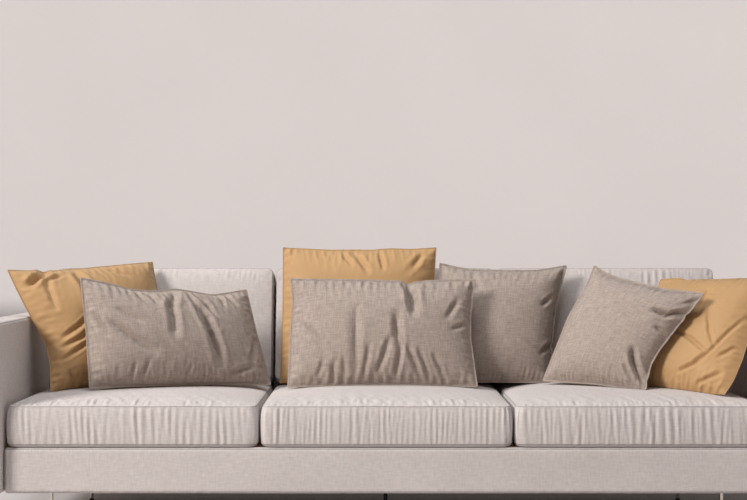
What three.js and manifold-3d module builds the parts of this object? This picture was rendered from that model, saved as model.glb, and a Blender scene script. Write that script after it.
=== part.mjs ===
// A three-seat sofa on slim metal legs, with three boxed seat cushions, three back cushions and seven throw pillows.
// Millimetres. +Z is up, X runs along the seat, and the sofa faces -Y. The origin is on the floor under its centre.
import * as THREE from "three";
import { mergeVertices } from "three/addons/utils/BufferGeometryUtils.js";
import Module from "manifold-3d";

const wasm = await Module();
wasm.setup();

// ---- Driving dimensions -------------------------------------------------------------------------------------------

const seats = 3;
const seatPitch = 801; // from one seat cushion's centre to the next
const cushionGap = 4; // the slit between two neighbouring cushions
const armThickness = 105;
const armHeight = 686; // the top of the arm above the floor
const armProud = 35; // how far the arms stand in front of the cushions
const depth = 950; // overall, from the arms' front to the back's rear face
const clearance = 147; // from the floor to the underside of the rail
const railHeight = 144;
const railThickness = 34;
const seatDepth = 760; // one seat cushion, front to rear
const seatThickness = 127; // from the lower seam to the upper one
const seatCrown = 36; // how far the seat rises above its upper seam
const backLean = 13; // degrees
const backCushion = { height: 410, thickness: 165, crown: 24 };
const backTop = 842; // the highest point of the back cushions
const backFrameTop = 796;
const touching = 1; // the gap kept where one soft piece presses on another

// ---- What follows from them ---------------------------------------------------------------------------------------

const insideWidth = seats * seatPitch + cushionGap * 2;
const width = insideWidth + 2 * armThickness;
const armFront = -depth / 2;
const cushionFront = armFront + armProud;
const backRear = depth / 2;
const deckHeight = clearance + railHeight + 1;
const seatBottom = deckHeight + 1;
const cushionWidth = seatPitch - cushionGap;
const seatNames = ["left", "centre", "right"];

const group = new THREE.Group();

// ---- Materials ----------------------------------------------------------------------------------------------------

function finish(color, roughness, metalness = 0) {
  return new THREE.MeshStandardMaterial({ color, roughness, metalness });
}

const sofaCloth = finish(0xcfc4bd, 0.9);
const taupeLinen = finish(0x9c8d81, 0.92);
const ochreSateen = finish(0xc8965a, 0.7);
const polishedSteel = finish(0xcfcbc4, 0.22, 1);
const blackPlastic = finish(0x1a1918, 0.6);
const plywood = finish(0xb08d62, 0.8);
const dustCloth = finish(0x242322, 0.95);

// ---- Solids -------------------------------------------------------------------------------------------------------

// A geometry with only its positions, and every shared corner stored once.
function welded(geometry) {
  const bare = geometry.clone();
  for (const name of Object.keys(bare.attributes)) if (name !== "position") bare.deleteAttribute(name);
  return mergeVertices(bare, 1e-3);
}

function solidOf(geometry) {
  const merged = welded(geometry);
  return new wasm.Manifold(
    new wasm.Mesh({
      numProp: 3,
      vertProperties: merged.attributes.position.array,
      triVerts: new Uint32Array(merged.index.array),
    }),
  );
}

function geometryOf(solid) {
  const mesh = solid.getMesh();
  const geometry = new THREE.BufferGeometry();
  geometry.setAttribute("position", new THREE.BufferAttribute(mesh.vertProperties, 3));
  geometry.setIndex(new THREE.BufferAttribute(mesh.triVerts, 1));
  geometry.computeVertexNormals();
  return geometry;
}

// The same shape with each corner moved outwards by gap, to cut room for it out of a neighbour.
function swollen(geometry, gap) {
  const grown = welded(geometry);
  grown.computeVertexNormals();
  const position = grown.attributes.position;
  const normal = new THREE.Vector3();
  const point = new THREE.Vector3();
  for (let k = 0; k < position.count; k++) {
    normal.fromBufferAttribute(grown.attributes.normal, k);
    point.fromBufferAttribute(position, k).addScaledVector(normal, gap);
    position.setXYZ(k, ...point.toArray());
  }
  return grown;
}

// A soft piece pressed against its neighbours: it keeps its largest part outside them.
function pressed(geometry, neighbours) {
  let solid = solidOf(geometry);
  for (const neighbour of neighbours) solid = solid.subtract(solidOf(swollen(neighbour, touching)));
  const parts = solid.decompose().sort((a, b) => b.volume() - a.volume());
  return geometryOf(parts[0].simplify(0.05));
}

// Where grid line i of n lies on a side of length 2 * half: two lines in each rounded edge, the rest spread between.
function gridLine(i, n, half, radius) {
  const arc = 2;
  const steps = [0, radius * (1 - Math.tan(Math.PI / 8)), radius];
  if (i <= arc) return -half + steps[i];
  if (i >= n - arc) return half - steps[n - i];
  return -(half - radius) + ((i - arc) / (n - 2 * arc)) * 2 * (half - radius);
}

// A padded block: a box with rounded edges, whose top swells by crown and whose sides swell by bulge.
function paddedBlock(size, radius, { cells = [8, 6, 5], crown = 0, bulge = 0 } = {}) {
  const geometry = new THREE.BoxGeometry(2, 2, 2, ...cells);
  const position = geometry.attributes.position;
  const half = size.map((length) => length / 2);
  const point = new THREE.Vector3();
  const core = new THREE.Vector3();
  const inner = new THREE.Vector3(...half).subScalar(radius);
  for (let k = 0; k < position.count; k++) {
    point.fromBufferAttribute(position, k);
    const lines = point.toArray().map((c, axis) => {
      const i = Math.round(((c + 1) / 2) * cells[axis]);
      return gridLine(i, cells[axis], half[axis], radius);
    });
    point.fromArray(lines);
    const [u, v, w] = lines.map((c, axis) => c / half[axis]);
    core.copy(point).clamp(inner.clone().negate(), inner);
    point.sub(core).setLength(radius).add(core);
    point.x += u * bulge * (1 - v * v) * (1 - w * w);
    point.y += v * bulge * (1 - u * u) * (1 - w * w);
    if (w > 0) point.z += w * crown * (1 - Math.abs(u) ** 3) * (1 - Math.abs(v) ** 3);
    position.setXYZ(k, ...point.toArray());
  }
  return geometry;
}

// A knife-edged pillow stretched between its four corners: bottom left, bottom right, top right and top left as seen
// from in front. Each side draws in by its bow, in the order bottom, right, top, left. It is thickest in the middle.
function pillow(corners, thickness, bows) {
  const seam = 5;
  const geometry = new THREE.BoxGeometry(2, 2, 2, 10, 8, 1);
  const position = geometry.attributes.position;
  const [a, b, c, d] = corners.map((corner) => new THREE.Vector3(...corner));
  const across = b.clone().add(c).sub(a).sub(d).normalize();
  const up = c.clone().add(d).sub(a).sub(b).normalize();
  const front = across.clone().cross(up).normalize();
  const [bottom, right, top, left] = bows;
  for (let k = 0; k < position.count; k++) {
    const u = Math.sin((position.getX(k) * Math.PI) / 2);
    const v = Math.sin((position.getY(k) * Math.PI) / 2);
    const low = a.clone().lerp(b, (u + 1) / 2);
    const high = d.clone().lerp(c, (u + 1) / 2);
    const point = low.lerp(high, (v + 1) / 2);
    point.addScaledVector(across, ((left * (1 - u) - right * (1 + u)) / 2) * (1 - v * v));
    point.addScaledVector(up, ((bottom * (1 - v) - top * (1 + v)) / 2) * (1 - u * u));
    const swell = ((1 - u * u) * (1 - v * v)) ** 0.42;
    point.addScaledVector(front, (position.getZ(k) * (seam + (thickness - seam) * swell)) / 2);
    position.setXYZ(k, ...point.toArray());
  }
  return geometry;
}

function add(name, geometry, material, place = [0, 0, 0], turn = [0, 0, 0]) {
  const mesh = new THREE.Mesh(geometry, material);
  mesh.name = name;
  mesh.position.set(...place);
  mesh.rotation.set(...turn);
  group.add(mesh);
  return mesh;
}

// ---- Frame: arms, back, front rail and the platform that carries the seat ------------------------------------------

function arm(side) {
  const x = (side * (insideWidth + armThickness)) / 2;
  const block = paddedBlock([armThickness, depth, armHeight - clearance], 12, { cells: [5, 5, 5] });
  return block.translate(x, 0, (armHeight + clearance) / 2);
}

const arms = [arm(-1), arm(1)];
add("arm_left", arms[0], sofaCloth);
add("arm_right", arms[1], sofaCloth);

const railWidth = insideWidth - 6;
const rail = paddedBlock([railWidth, railThickness, railHeight], 15, { cells: [5, 5, 5] });
add("front_rail", rail, sofaCloth, [0, cushionFront + railThickness / 2, clearance + railHeight / 2]);

// The back's side profile, extruded along the seat. Its front face leans as the back cushions do.
const slope = Math.tan(THREE.MathUtils.degToRad(backLean));
const backThicknessAtDeck = 146;
const backSoften = 10;

function backFrame() {
  const frontAt = (z) => backRear - backThicknessAtDeck + (z - deckHeight) * slope;
  const low = new THREE.Vector2(frontAt(deckHeight), clearance);
  const high = new THREE.Vector2(frontAt(backFrameTop), backFrameTop);
  const outline = new THREE.Shape();
  outline.moveTo(low.x, low.y);
  outline.lineTo(backRear - backSoften, clearance);
  outline.absarc(backRear - backSoften, clearance + backSoften, backSoften, -Math.PI / 2, 0, false);
  outline.absarc(backRear - backSoften, high.y - backSoften, backSoften, 0, Math.PI / 2, false);
  outline.absarc(high.x + backSoften, high.y - backSoften, backSoften, Math.PI / 2, Math.PI, false);
  outline.lineTo(low.x, deckHeight);
  outline.closePath();
  const length = insideWidth - 6;
  const block = new THREE.ExtrudeGeometry(outline, { depth: length, bevelEnabled: false, curveSegments: 4 });
  return block.rotateX(Math.PI / 2).rotateZ(Math.PI / 2).translate(-length / 2, 0, 0);
}

const back = backFrame();
add("back_frame", back, sofaCloth);

const platformFront = cushionFront + railThickness + 1;
const platformRear = backRear - backThicknessAtDeck - 1;
const platformDepth = platformRear - platformFront;
const platformBottom = clearance + 10;
add(
  "seat_platform",
  new THREE.BoxGeometry(insideWidth - 6, platformDepth, deckHeight - platformBottom),
  plywood,
  [0, (platformFront + platformRear) / 2, (deckHeight + platformBottom) / 2],
);

const dustClothThickness = 1.5;
const dustClothTop = platformBottom - 0.3;
add(
  "dust_cover",
  new THREE.BoxGeometry(insideWidth - 30, platformDepth - 20, dustClothThickness),
  dustCloth,
  [0, (platformFront + platformRear) / 2, dustClothTop - dustClothThickness / 2],
);

// ---- Legs: a slim round rod under a screwed plate, standing on a plastic glide ---------------------------------------

const legRadius = 6.5;
const glide = { radius: 9, height: 7 };
const plate = { side: 62, thickness: 3, corner: 8, screwInset: 12, headRadius: 4, headHeight: 1.4 };
const plateTop = dustClothTop - dustClothThickness - 0.3;
const rodSides = 16;
const screwSides = 8;

// A round bar standing on Z, with its lower rim chamfered.
function bar(radius, bottom, top, sides) {
  const chamfer = 0.8;
  const profile = [
    [0, bottom],
    [radius - chamfer, bottom],
    [radius, bottom + chamfer],
    [radius, top],
    [0, top],
  ];
  const points = profile.map(([r, height]) => new THREE.Vector2(r, height));
  return new THREE.LatheGeometry(points, sides).rotateX(Math.PI / 2);
}

function legPlate() {
  const edge = plate.side / 2;
  const corner = plate.corner;
  const outline = new THREE.Shape();
  for (let quarter = 0; quarter < 4; quarter++) {
    const angle = (quarter * Math.PI) / 2;
    const x = (edge - corner) * Math.sign(Math.cos(angle + Math.PI / 4));
    const y = (edge - corner) * Math.sign(Math.sin(angle + Math.PI / 4));
    outline.absarc(x, y, corner, angle, angle + Math.PI / 2, false);
  }
  outline.closePath();
  const flat = { depth: plate.thickness, bevelEnabled: false, curveSegments: 3 };
  let solid = solidOf(new THREE.ExtrudeGeometry(outline, flat).translate(0, 0, plateTop - plate.thickness));
  const screwAt = edge - plate.screwInset;
  const underside = plateTop - plate.thickness;
  for (const x of [-screwAt, screwAt])
    for (const y of [-screwAt, screwAt]) {
      const head = bar(plate.headRadius, underside - plate.headHeight, underside + 2, screwSides);
      solid = solid.add(solidOf(head.translate(x, y, 0)));
    }
  return geometryOf(solid);
}

const legX = 1068;
const legFrontY = cushionFront + 70;
const legRearY = platformRear - 40;

function leg(name, x, y, material) {
  const top = plateTop - plate.thickness - 0.3;
  add("leg_" + name, bar(legRadius, glide.height + 0.3, top, rodSides), material, [x, y, 0]);
  add("leg_plate_" + name, legPlate(), material, [x, y, 0]);
  add("glide_" + name, bar(glide.radius, 0, glide.height, rodSides), blackPlastic, [x, y, 0]);
}

leg("front_left", -legX, legFrontY, polishedSteel);
leg("front_right", legX, legFrontY, polishedSteel);
leg("rear_left", -legX, legRearY, polishedSteel);
leg("rear_right", legX, legRearY, polishedSteel);
leg("centre", 0, (legFrontY + legRearY) / 2, blackPlastic);

// ---- Seat and back cushions -------------------------------------------------------------------------------------

const seatCushions = seatNames.map((name, i) => {
  const x = (i - (seats - 1) / 2) * seatPitch;
  const bulge = 2;
  const size = [cushionWidth - 2 * bulge, seatDepth - 2 * bulge, seatThickness];
  const block = paddedBlock(size, 22, { crown: seatCrown, bulge });
  block.translate(x, cushionFront + seatDepth / 2, seatBottom + seatThickness / 2);
  add("seat_cushion_" + name, block, sofaCloth);
  return block;
});

// A back cushion is made lying down, then tipped up on its rear edge until it leans on the frame.
const backCushions = seatNames.map((name, i) => {
  const x = (i - (seats - 1) / 2) * seatPitch;
  const bulge = 3;
  const size = [cushionWidth - 2 * bulge, backCushion.height, backCushion.thickness];
  const block = paddedBlock(size, 36, { crown: backCushion.crown, bulge });
  block.rotateX(THREE.MathUtils.degToRad(90 - backLean));
  block.computeBoundingBox();
  const box = block.boundingBox;
  const restsAt = backRear - backThicknessAtDeck + (backTop - backCushion.height - deckHeight) * slope;
  const rearLow = restsAt - (backCushion.thickness / 2) * Math.cos(THREE.MathUtils.degToRad(backLean));
  const rise = (backCushion.height / 2) * Math.sin(THREE.MathUtils.degToRad(backLean));
  block.translate(x, rearLow + rise - 3, backTop - box.max.z);
  return pressed(block, [...seatCushions, back]);
});
backCushions.forEach((block, i) => add("back_cushion_" + seatNames[i], block, sofaCloth));

// ---- Throw pillows ------------------------------------------------------------------------------------------------

// Each pillow has its corners, bottom left, bottom right, top right and top left, as it leans and sags where it was
// put, and how far each side draws in. y counts from the cushions' front edge.
const ochre = { thickness: 150, material: ochreSateen };
const lumbar = { thickness: 140, material: taupeLinen };
const square = { thickness: 145, material: taupeLinen };

const throwPillows = [
  {
    name: "pillow_ochre_centre",
    kind: ochre,
    corners: [[-371, 535, 450], [185, 535, 450], [186, 660, 923], [-368, 660, 923]],
    bows: [6, 18, 10, 8],
  },
  {
    name: "pillow_taupe_back",
    kind: square,
    corners: [[142, 505, 450], [578, 535, 450], [658, 662, 860], [196, 662, 867]],
    bows: [8, 18, 12, 12],
  },
  {
    name: "pillow_ochre_left",
    kind: ochre,
    corners: [[-1096, 250, 448], [-740, 530, 452], [-842, 660, 870], [-1280, 370, 846]],
    bows: [6, 20, 22, 30],
  },
  {
    name: "pillow_ochre_right",
    kind: ochre,
    corners: [[740, 460, 452], [1090, 120, 448], [1290, 295, 822], [985, 605, 812]],
    bows: [6, 4, 4, 16],
  },
  {
    name: "pillow_lumbar_centre",
    kind: lumbar,
    corners: [[-335, 375, 450], [315, 375, 450], [316, 500, 813], [-332, 500, 815]],
    bows: [6, 14, 8, 12],
  },
  {
    name: "pillow_lumbar_left",
    kind: lumbar,
    corners: [[-977, 220, 461], [-394, 470, 448], [-489, 580, 773], [-1029, 320, 821]],
    bows: [6, 4, 26, 12],
  },
  {
    name: "pillow_taupe_right",
    kind: square,
    corners: [[539, 450, 466], [855, 220, 452], [1062, 267, 770], [729, 508, 860]],
    bows: [4, 26, 8, 2],
  },
];

const placed = [];
for (const { name, kind, corners, bows } of throwPillows) {
  const points = corners.map(([x, y, z]) => [x, y + cushionFront, z]);
  const shape = pillow(points, kind.thickness, bows);
  const settled = pressed(shape, [...seatCushions, ...backCushions, ...arms, ...placed]);
  placed.push(settled);
  add(name, settled, kind.material);
}

export default group;
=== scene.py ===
# %% [markdown]
# # A three-seat sofa with seven throw pillows
# This lesson dresses a sofa that was drawn as plain solids. The solids say where every part
# is and how big it is. Blender adds what solids leave out: cloth that is sewn, stuffed and
# creased, turned metal legs, and finishes made only from shader nodes.
#
# The first step loads the solids as a fixed frame. Everything is in metres, x runs along
# the sofa, y runs from its front to its back, and z is up.

# %% Load the frame
import math

import bpy
import numpy as np
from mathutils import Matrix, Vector
from mathutils.bvhtree import BVHTree


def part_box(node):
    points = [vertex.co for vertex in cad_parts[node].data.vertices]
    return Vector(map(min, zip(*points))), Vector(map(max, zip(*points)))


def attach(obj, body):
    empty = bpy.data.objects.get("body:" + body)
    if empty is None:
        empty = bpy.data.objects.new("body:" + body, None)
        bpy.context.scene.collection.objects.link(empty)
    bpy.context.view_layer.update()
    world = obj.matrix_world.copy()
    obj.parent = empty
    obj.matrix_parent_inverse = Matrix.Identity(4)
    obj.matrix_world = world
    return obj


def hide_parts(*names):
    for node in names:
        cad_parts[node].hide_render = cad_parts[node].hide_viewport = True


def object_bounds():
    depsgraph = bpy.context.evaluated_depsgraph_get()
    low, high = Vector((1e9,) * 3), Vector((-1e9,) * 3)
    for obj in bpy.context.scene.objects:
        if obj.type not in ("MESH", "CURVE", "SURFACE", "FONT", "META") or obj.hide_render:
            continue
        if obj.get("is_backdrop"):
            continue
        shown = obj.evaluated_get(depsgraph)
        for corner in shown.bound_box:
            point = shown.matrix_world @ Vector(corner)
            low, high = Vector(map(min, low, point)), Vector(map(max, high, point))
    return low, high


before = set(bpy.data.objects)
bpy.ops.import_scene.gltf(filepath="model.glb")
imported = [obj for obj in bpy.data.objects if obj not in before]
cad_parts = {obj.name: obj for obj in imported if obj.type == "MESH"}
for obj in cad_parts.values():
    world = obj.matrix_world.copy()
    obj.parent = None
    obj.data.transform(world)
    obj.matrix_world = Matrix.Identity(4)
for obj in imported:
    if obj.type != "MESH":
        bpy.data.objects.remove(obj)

scene = bpy.context.scene
cad_box = [list(corner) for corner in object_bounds()]
print("solids:", len(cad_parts), "from", cad_box[0], "to", cad_box[1])

# %% [markdown]
# ## The camera
# A sofa this wide is best seen from across a room, with a long lens held level at chest
# height. A level camera keeps upright edges upright, so no lens shift is needed. The camera
# could be turned to look down at the seat, but then the arms would lean towards each other.

# %% Camera
camera_data = bpy.data.cameras.new("camera")
camera_data.lens = 69.1
camera_data.sensor_width = 36.0
camera_data.clip_end = 100.0
camera = bpy.data.objects.new("camera", camera_data)
camera.location = (-0.041, -4.940, 0.9125)
camera.rotation_euler = (math.radians(90), 0, 0)
scene.collection.objects.link(camera)
scene.camera = camera
scene.view_settings.view_transform = "Standard"
middle_of_seat = Vector((0, 0, 0.45))
print("camera", round((camera.location - middle_of_seat).length, 2), "m from the sofa")

# %% [markdown]
# ## Helpers for making a mesh
# Every piece below is a list of points and a list of faces. A small set of helpers turns
# them into Blender objects, hides the solids that each one stands for, and gives the cloth a
# flat pattern. The pattern is a UV map in metres, so a thread is as wide on an arm as it is
# on a pillow, and it bends with the cloth. An automatic unwrap would be quicker, but its
# threads would change size from piece to piece.

# %% Turn points and faces into a piece
pieces = {}


def make_mesh(name, points, faces, pattern=None, seam_distance=None):
    """A mesh with its flat pattern, given for each point or for each corner of a face."""
    mesh = bpy.data.meshes.new(name)
    mesh.from_pydata(np.asarray(points, float).tolist(), [], faces)
    mesh.update()
    mesh.polygons.foreach_set("use_smooth", [True] * len(mesh.polygons))
    if pattern is not None:
        layer = mesh.uv_layers.new(name="cloth")
        pattern = np.asarray(pattern, np.float32)
        if len(pattern) == len(mesh.vertices):
            corner_points = np.zeros(len(mesh.loops), np.int32)
            mesh.loops.foreach_get("vertex_index", corner_points)
            pattern = pattern[corner_points]
        layer.uv.foreach_set("vector", pattern.ravel())
    if seam_distance is not None:
        attribute = mesh.attributes.new("seam_distance", "FLOAT", "POINT")
        attribute.data.foreach_set("value", np.asarray(seam_distance, np.float32))
    return mesh


def make_piece(name, mesh, stands_for, smooth_levels=1, sharp_degrees=None):
    """A piece of the sofa under the root, smoothed, with the solids that it stands for hidden."""
    piece = bpy.data.objects.new(name, mesh)
    scene.collection.objects.link(piece)
    if smooth_levels:
        smoothing = piece.modifiers.new("smoothing", "SUBSURF")
        smoothing.levels = smooth_levels
        smoothing.render_levels = smooth_levels
        smoothing.use_limit_surface = False
    if sharp_degrees:
        mesh.set_sharp_from_angle(angle=math.radians(sharp_degrees))
    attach(piece, "root")
    if stands_for:
        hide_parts(*stands_for)
    pieces[name] = piece
    return piece


def joined(parts):
    """Several (points, faces) lists as one."""
    points, faces = [], []
    for part_points, part_faces in parts:
        start = len(points)
        points += [tuple(point) for point in part_points]
        faces += [[start + index for index in face] for face in part_faces]
    return points, faces


# %% [markdown]
# ## Round parts
# Legs, feet and screw heads are round, so they are made as on a lathe: one outline is
# turned about an axis. A cylinder primitive has no collar, no chamfer and no dome, and
# those are what catch the light on polished metal.

# %% Turn an outline on a lathe
def turned(outline, segments=32, place=(0, 0, 0)):
    """outline is a list of (radius, height) from the bottom up. Radius 0 closes an end."""
    points, faces, rings = [], [], []
    for radius, height in outline:
        count = segments if radius > 0 else 1
        rings.append([len(points) + step for step in range(count)])
        for step in range(count):
            angle = 2 * math.pi * step / segments
            points.append((place[0] + radius * math.cos(angle),
                           place[1] + radius * math.sin(angle),
                           place[2] + height))
    for lower, upper in zip(rings, rings[1:]):
        for step in range(segments):
            after = (step + 1) % segments
            face = [lower[step % len(lower)], lower[after % len(lower)],
                    upper[after % len(upper)], upper[step % len(upper)]]
            faces.append(list(dict.fromkeys(face)))
    return points, faces


# %% [markdown]
# ## The stage
# The floor is a wide plain dish. Its rim curves up far behind the sofa, so no edge or
# horizon line shows from any side. A flat plane would do for one view, but the sofa is
# looked at from all round.

# %% Stage
stage_radius = 15.0
stage_sweep = 4.0
stage_height = 7.0
sweep_steps = 12
stage_outline = [(0, 0), (2, 0), (5, 0), (8, 0), (stage_radius - stage_sweep, 0)]
for step in range(1, sweep_steps + 1):
    angle = math.radians(90 * step / sweep_steps)
    stage_outline.append((stage_radius - stage_sweep + stage_sweep * math.sin(angle),
                          stage_sweep - stage_sweep * math.cos(angle)))
stage_outline.append((stage_radius, stage_height))
stage_points, stage_faces = turned(stage_outline, segments=96)
stage = bpy.data.objects.new("stage", make_mesh("stage", stage_points, stage_faces))
scene.collection.objects.link(stage)
stage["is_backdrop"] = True
print("stage", 2 * stage_radius, "m across")

# %% [markdown]
# ## The light
# The sofa stands near a big window on its left, and the ceiling sends back some of that
# light. One large lamp high on the left front stands for the window, a weak one above for
# the ceiling, and a dim pale world fills the shadows. Small lamps would print hard edges on
# the cushions, and a bright world would wash out the folds and the gaps between them.

# %% Lamps and world
def soft_lamp(name, place, aim, size, power, colour=(1.0, 1.0, 1.0)):
    data = bpy.data.lights.new(name, "AREA")
    data.shape = "RECTANGLE"
    data.size, data.size_y = size
    data.energy = power
    data.color = colour
    lamp = bpy.data.objects.new(name, data)
    lamp.location = place
    lamp.rotation_euler = (Vector(aim) - Vector(place)).to_track_quat("-Z", "Y").to_euler()
    scene.collection.objects.link(lamp)
    return lamp


soft_lamp("window", (-8.3, -5.8, 6.1), (0, 0, 0.5), (3.0, 3.0), 1180, (1.0, 0.97, 0.94))
soft_lamp("ceiling", (-0.6, -0.7, 4.4), (0, -0.1, 0.4), (3.4, 1.8), 98, (0.95, 0.98, 1.0))
world = bpy.data.worlds.new("room light")
world.use_nodes = True
world_light = world.node_tree.nodes["Background"]
world_light.inputs["Color"].default_value = (0.90, 0.85, 0.83, 1.0)
world_light.inputs["Strength"].default_value = 0.14
scene.world = world

# %% [markdown]
# ## Building materials from nodes
# A material is a tree of small nodes. Writing each one out takes three lines, so these
# helpers add a node, set it and wire it in one call.

# %% Node helpers
def add_node(tree, kind, inputs=None, **settings):
    node = tree.nodes.new(kind)
    for key, value in settings.items():
        setattr(node, key, value)
    for key, value in (inputs or {}).items():
        socket = node.inputs[key]
        if isinstance(value, bpy.types.NodeSocket):
            tree.links.new(value, socket)
        else:
            socket.default_value = value
    return node


def calculate(tree, operation, first, second=None, third=None, clamp=False):
    inputs = {0: first}
    if second is not None:
        inputs[1] = second
    if third is not None:
        inputs[2] = third
    node = add_node(tree, "ShaderNodeMath", inputs, operation=operation, use_clamp=clamp)
    return node.outputs[0]


def new_group(title, inputs, outputs):
    group = bpy.data.node_groups.new(title, "ShaderNodeTree")
    for name, kind, value in inputs:
        socket = group.interface.new_socket(name=name, in_out="INPUT", socket_type=kind)
        if value is not None:
            socket.default_value = value
    for name, kind in outputs:
        group.interface.new_socket(name=name, in_out="OUTPUT", socket_type=kind)
    return group, group.nodes.new("NodeGroupInput"), group.nodes.new("NodeGroupOutput")


def use_group(tree, group, inputs):
    return add_node(tree, "ShaderNodeGroup", inputs, node_tree=group)


NUMBER = "NodeSocketFloat"
ARROW = "NodeSocketVector"

# %% [markdown]
# ## Plain weave
# In a plain weave each warp thread goes over one weft thread and under the next. Seen from
# the side a thread is a row of arches, so its height is a cosine along it and an arch
# across it. The two sets of threads are half a wave apart, and the higher one shows. The
# group gives that height, and which of the two sets is on top. A noise bump would be
# simpler, but it never lines up into threads when seen close.

# %% Group: plain weave
weave_group, enter, leave = new_group(
    "plain weave",
    [("Pattern", ARROW, None), ("Thread", NUMBER, 0.0012), ("Wobble", NUMBER, 0.25)],
    [("Height", NUMBER), ("Warp on top", NUMBER)],
)
tree = weave_group
wander = add_node(tree, "ShaderNodeTexNoise",
                  {"Vector": enter.outputs["Pattern"], "Scale": 90.0, "Detail": 1.0})
wander_off = add_node(tree, "ShaderNodeVectorMath",
                      {0: wander.outputs["Color"], 1: (0.5, 0.5, 0.5)}, operation="SUBTRACT")
in_threads = add_node(tree, "ShaderNodeVectorMath",
                      {0: enter.outputs["Pattern"], 1: enter.outputs["Thread"]},
                      operation="DIVIDE")
wander_size = add_node(tree, "ShaderNodeVectorMath",
                       {0: wander_off.outputs[0], "Scale": enter.outputs["Wobble"]},
                       operation="SCALE")
bent = add_node(tree, "ShaderNodeVectorMath",
                {0: in_threads.outputs[0], 1: wander_size.outputs[0]}, operation="ADD")
split = add_node(tree, "ShaderNodeSeparateXYZ", {0: bent.outputs[0]})


THREAD_FLATNESS = 0.6
THREAD_DIP = 0.35


def thread_height(across, along, half_turn):
    """How high a thread stands: an arch across it, and a wave along it as it goes under."""
    arch = calculate(tree, "ABSOLUTE", calculate(
        tree, "SINE", calculate(tree, "MULTIPLY", across, math.pi)))
    arch = calculate(tree, "POWER", arch, THREAD_FLATNESS)
    which = calculate(tree, "MULTIPLY", calculate(tree, "FLOOR", across), math.pi)
    wave = calculate(tree, "MULTIPLY_ADD", along, math.pi, which)
    wave = calculate(tree, "COSINE", calculate(tree, "ADD", wave, half_turn))
    return calculate(tree, "MULTIPLY", arch,
                     calculate(tree, "MULTIPLY_ADD", wave, THREAD_DIP, 1 - THREAD_DIP))


warp_height = thread_height(split.outputs[0], split.outputs[1], -math.pi / 2)
weft_height = thread_height(split.outputs[1], split.outputs[0], math.pi / 2)
tree.links.new(calculate(tree, "MAXIMUM", warp_height, weft_height), leave.inputs["Height"])
tree.links.new(calculate(tree, "GREATER_THAN", warp_height, weft_height),
               leave.inputs["Warp on top"])
print("group:", weave_group.name, len(weave_group.nodes), "nodes")

# %% [markdown]
# ## Slubs
# Linen yarn is uneven: a thread is thick and pale for a few centimetres, then thin and
# dark. Stretched noise gives that, once along each set of threads. Which set shows is taken
# from the weave, so a pale thread dives under its neighbours as a real one does.

# %% Group: slubs
slub_group, enter, leave = new_group(
    "slubs",
    [("Pattern", ARROW, None), ("Thread", NUMBER, 0.0012), ("Length", NUMBER, 0.03),
     ("Warp on top", NUMBER, 0.5)],
    [("Value", NUMBER)],
)
tree = slub_group
across_scale = calculate(tree, "DIVIDE", 0.5, enter.outputs["Thread"])
along_scale = calculate(tree, "DIVIDE", 0.5, enter.outputs["Length"])
streaks = []
for x_scale, y_scale in ((across_scale, along_scale), (along_scale, across_scale)):
    stretch = add_node(tree, "ShaderNodeCombineXYZ", {0: x_scale, 1: y_scale, 2: 1.0})
    stretched = add_node(tree, "ShaderNodeVectorMath",
                         {0: enter.outputs["Pattern"], 1: stretch.outputs[0]},
                         operation="MULTIPLY")
    streak = add_node(tree, "ShaderNodeTexNoise",
                      {"Vector": stretched.outputs[0], "Scale": 1.0, "Detail": 2.0})
    streaks.append(streak.outputs["Fac"])
chosen = add_node(tree, "ShaderNodeMix",
                  {"Factor": enter.outputs["Warp on top"], "A": streaks[1], "B": streaks[0]})
tree.links.new(chosen.outputs["Result"], leave.inputs["Value"])
print("group:", slub_group.name, len(slub_group.nodes), "nodes")

# %% [markdown]
# ## Seams, stitches, wear and painted shade
# A seam is a thin shaded groove with a row of stitches in it. Each sewn piece stores how
# far every point is from its nearest seam, and this group turns that distance into a line
# of painted shade in the groove, a row of short stitches and a soft band beside it that is a
# little darker. The second group makes raised folds a little paler and hollows a little
# darker, from how sharply the surface bends: partly wear, partly painted light and shade.

# %% Groups: seam line, wear and painted shade on folds, mottling
seam_group, enter, leave = new_group(
    "seam line",
    [("Distance", NUMBER, 1.0), ("Pattern", ARROW, None), ("Line", NUMBER, 0.0012),
     ("Band", NUMBER, 0.012), ("Stitch", NUMBER, 0.0032)],
    [("Line", NUMBER), ("Band", NUMBER), ("Thread", NUMBER)],
)
tree = seam_group
line = add_node(tree, "ShaderNodeMapRange",
                {"Value": enter.outputs["Distance"], "From Min": 0.0,
                 "From Max": enter.outputs["Line"], "To Min": 1.0, "To Max": 0.0})
band = add_node(tree, "ShaderNodeMapRange",
                {"Value": enter.outputs["Distance"], "From Min": 0.0,
                 "From Max": enter.outputs["Band"], "To Min": 1.0, "To Max": 0.0},
                interpolation_type="SMOOTHSTEP")
ways = add_node(tree, "ShaderNodeSeparateXYZ", {0: enter.outputs["Pattern"]})
run = calculate(tree, "ADD", ways.outputs[0], ways.outputs[1])
beat = calculate(tree, "FRACT", calculate(tree, "DIVIDE", run, enter.outputs["Stitch"]))
STITCH_SHARE = 0.68
dash = calculate(tree, "LESS_THAN", beat, STITCH_SHARE)
tree.links.new(line.outputs[0], leave.inputs["Line"])
tree.links.new(band.outputs[0], leave.inputs["Band"])
tree.links.new(calculate(tree, "MULTIPLY", line.outputs[0], dash), leave.inputs["Thread"])

# Paler ridges and darker hollows of folds: partly wear, partly painted light and shade.
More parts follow.
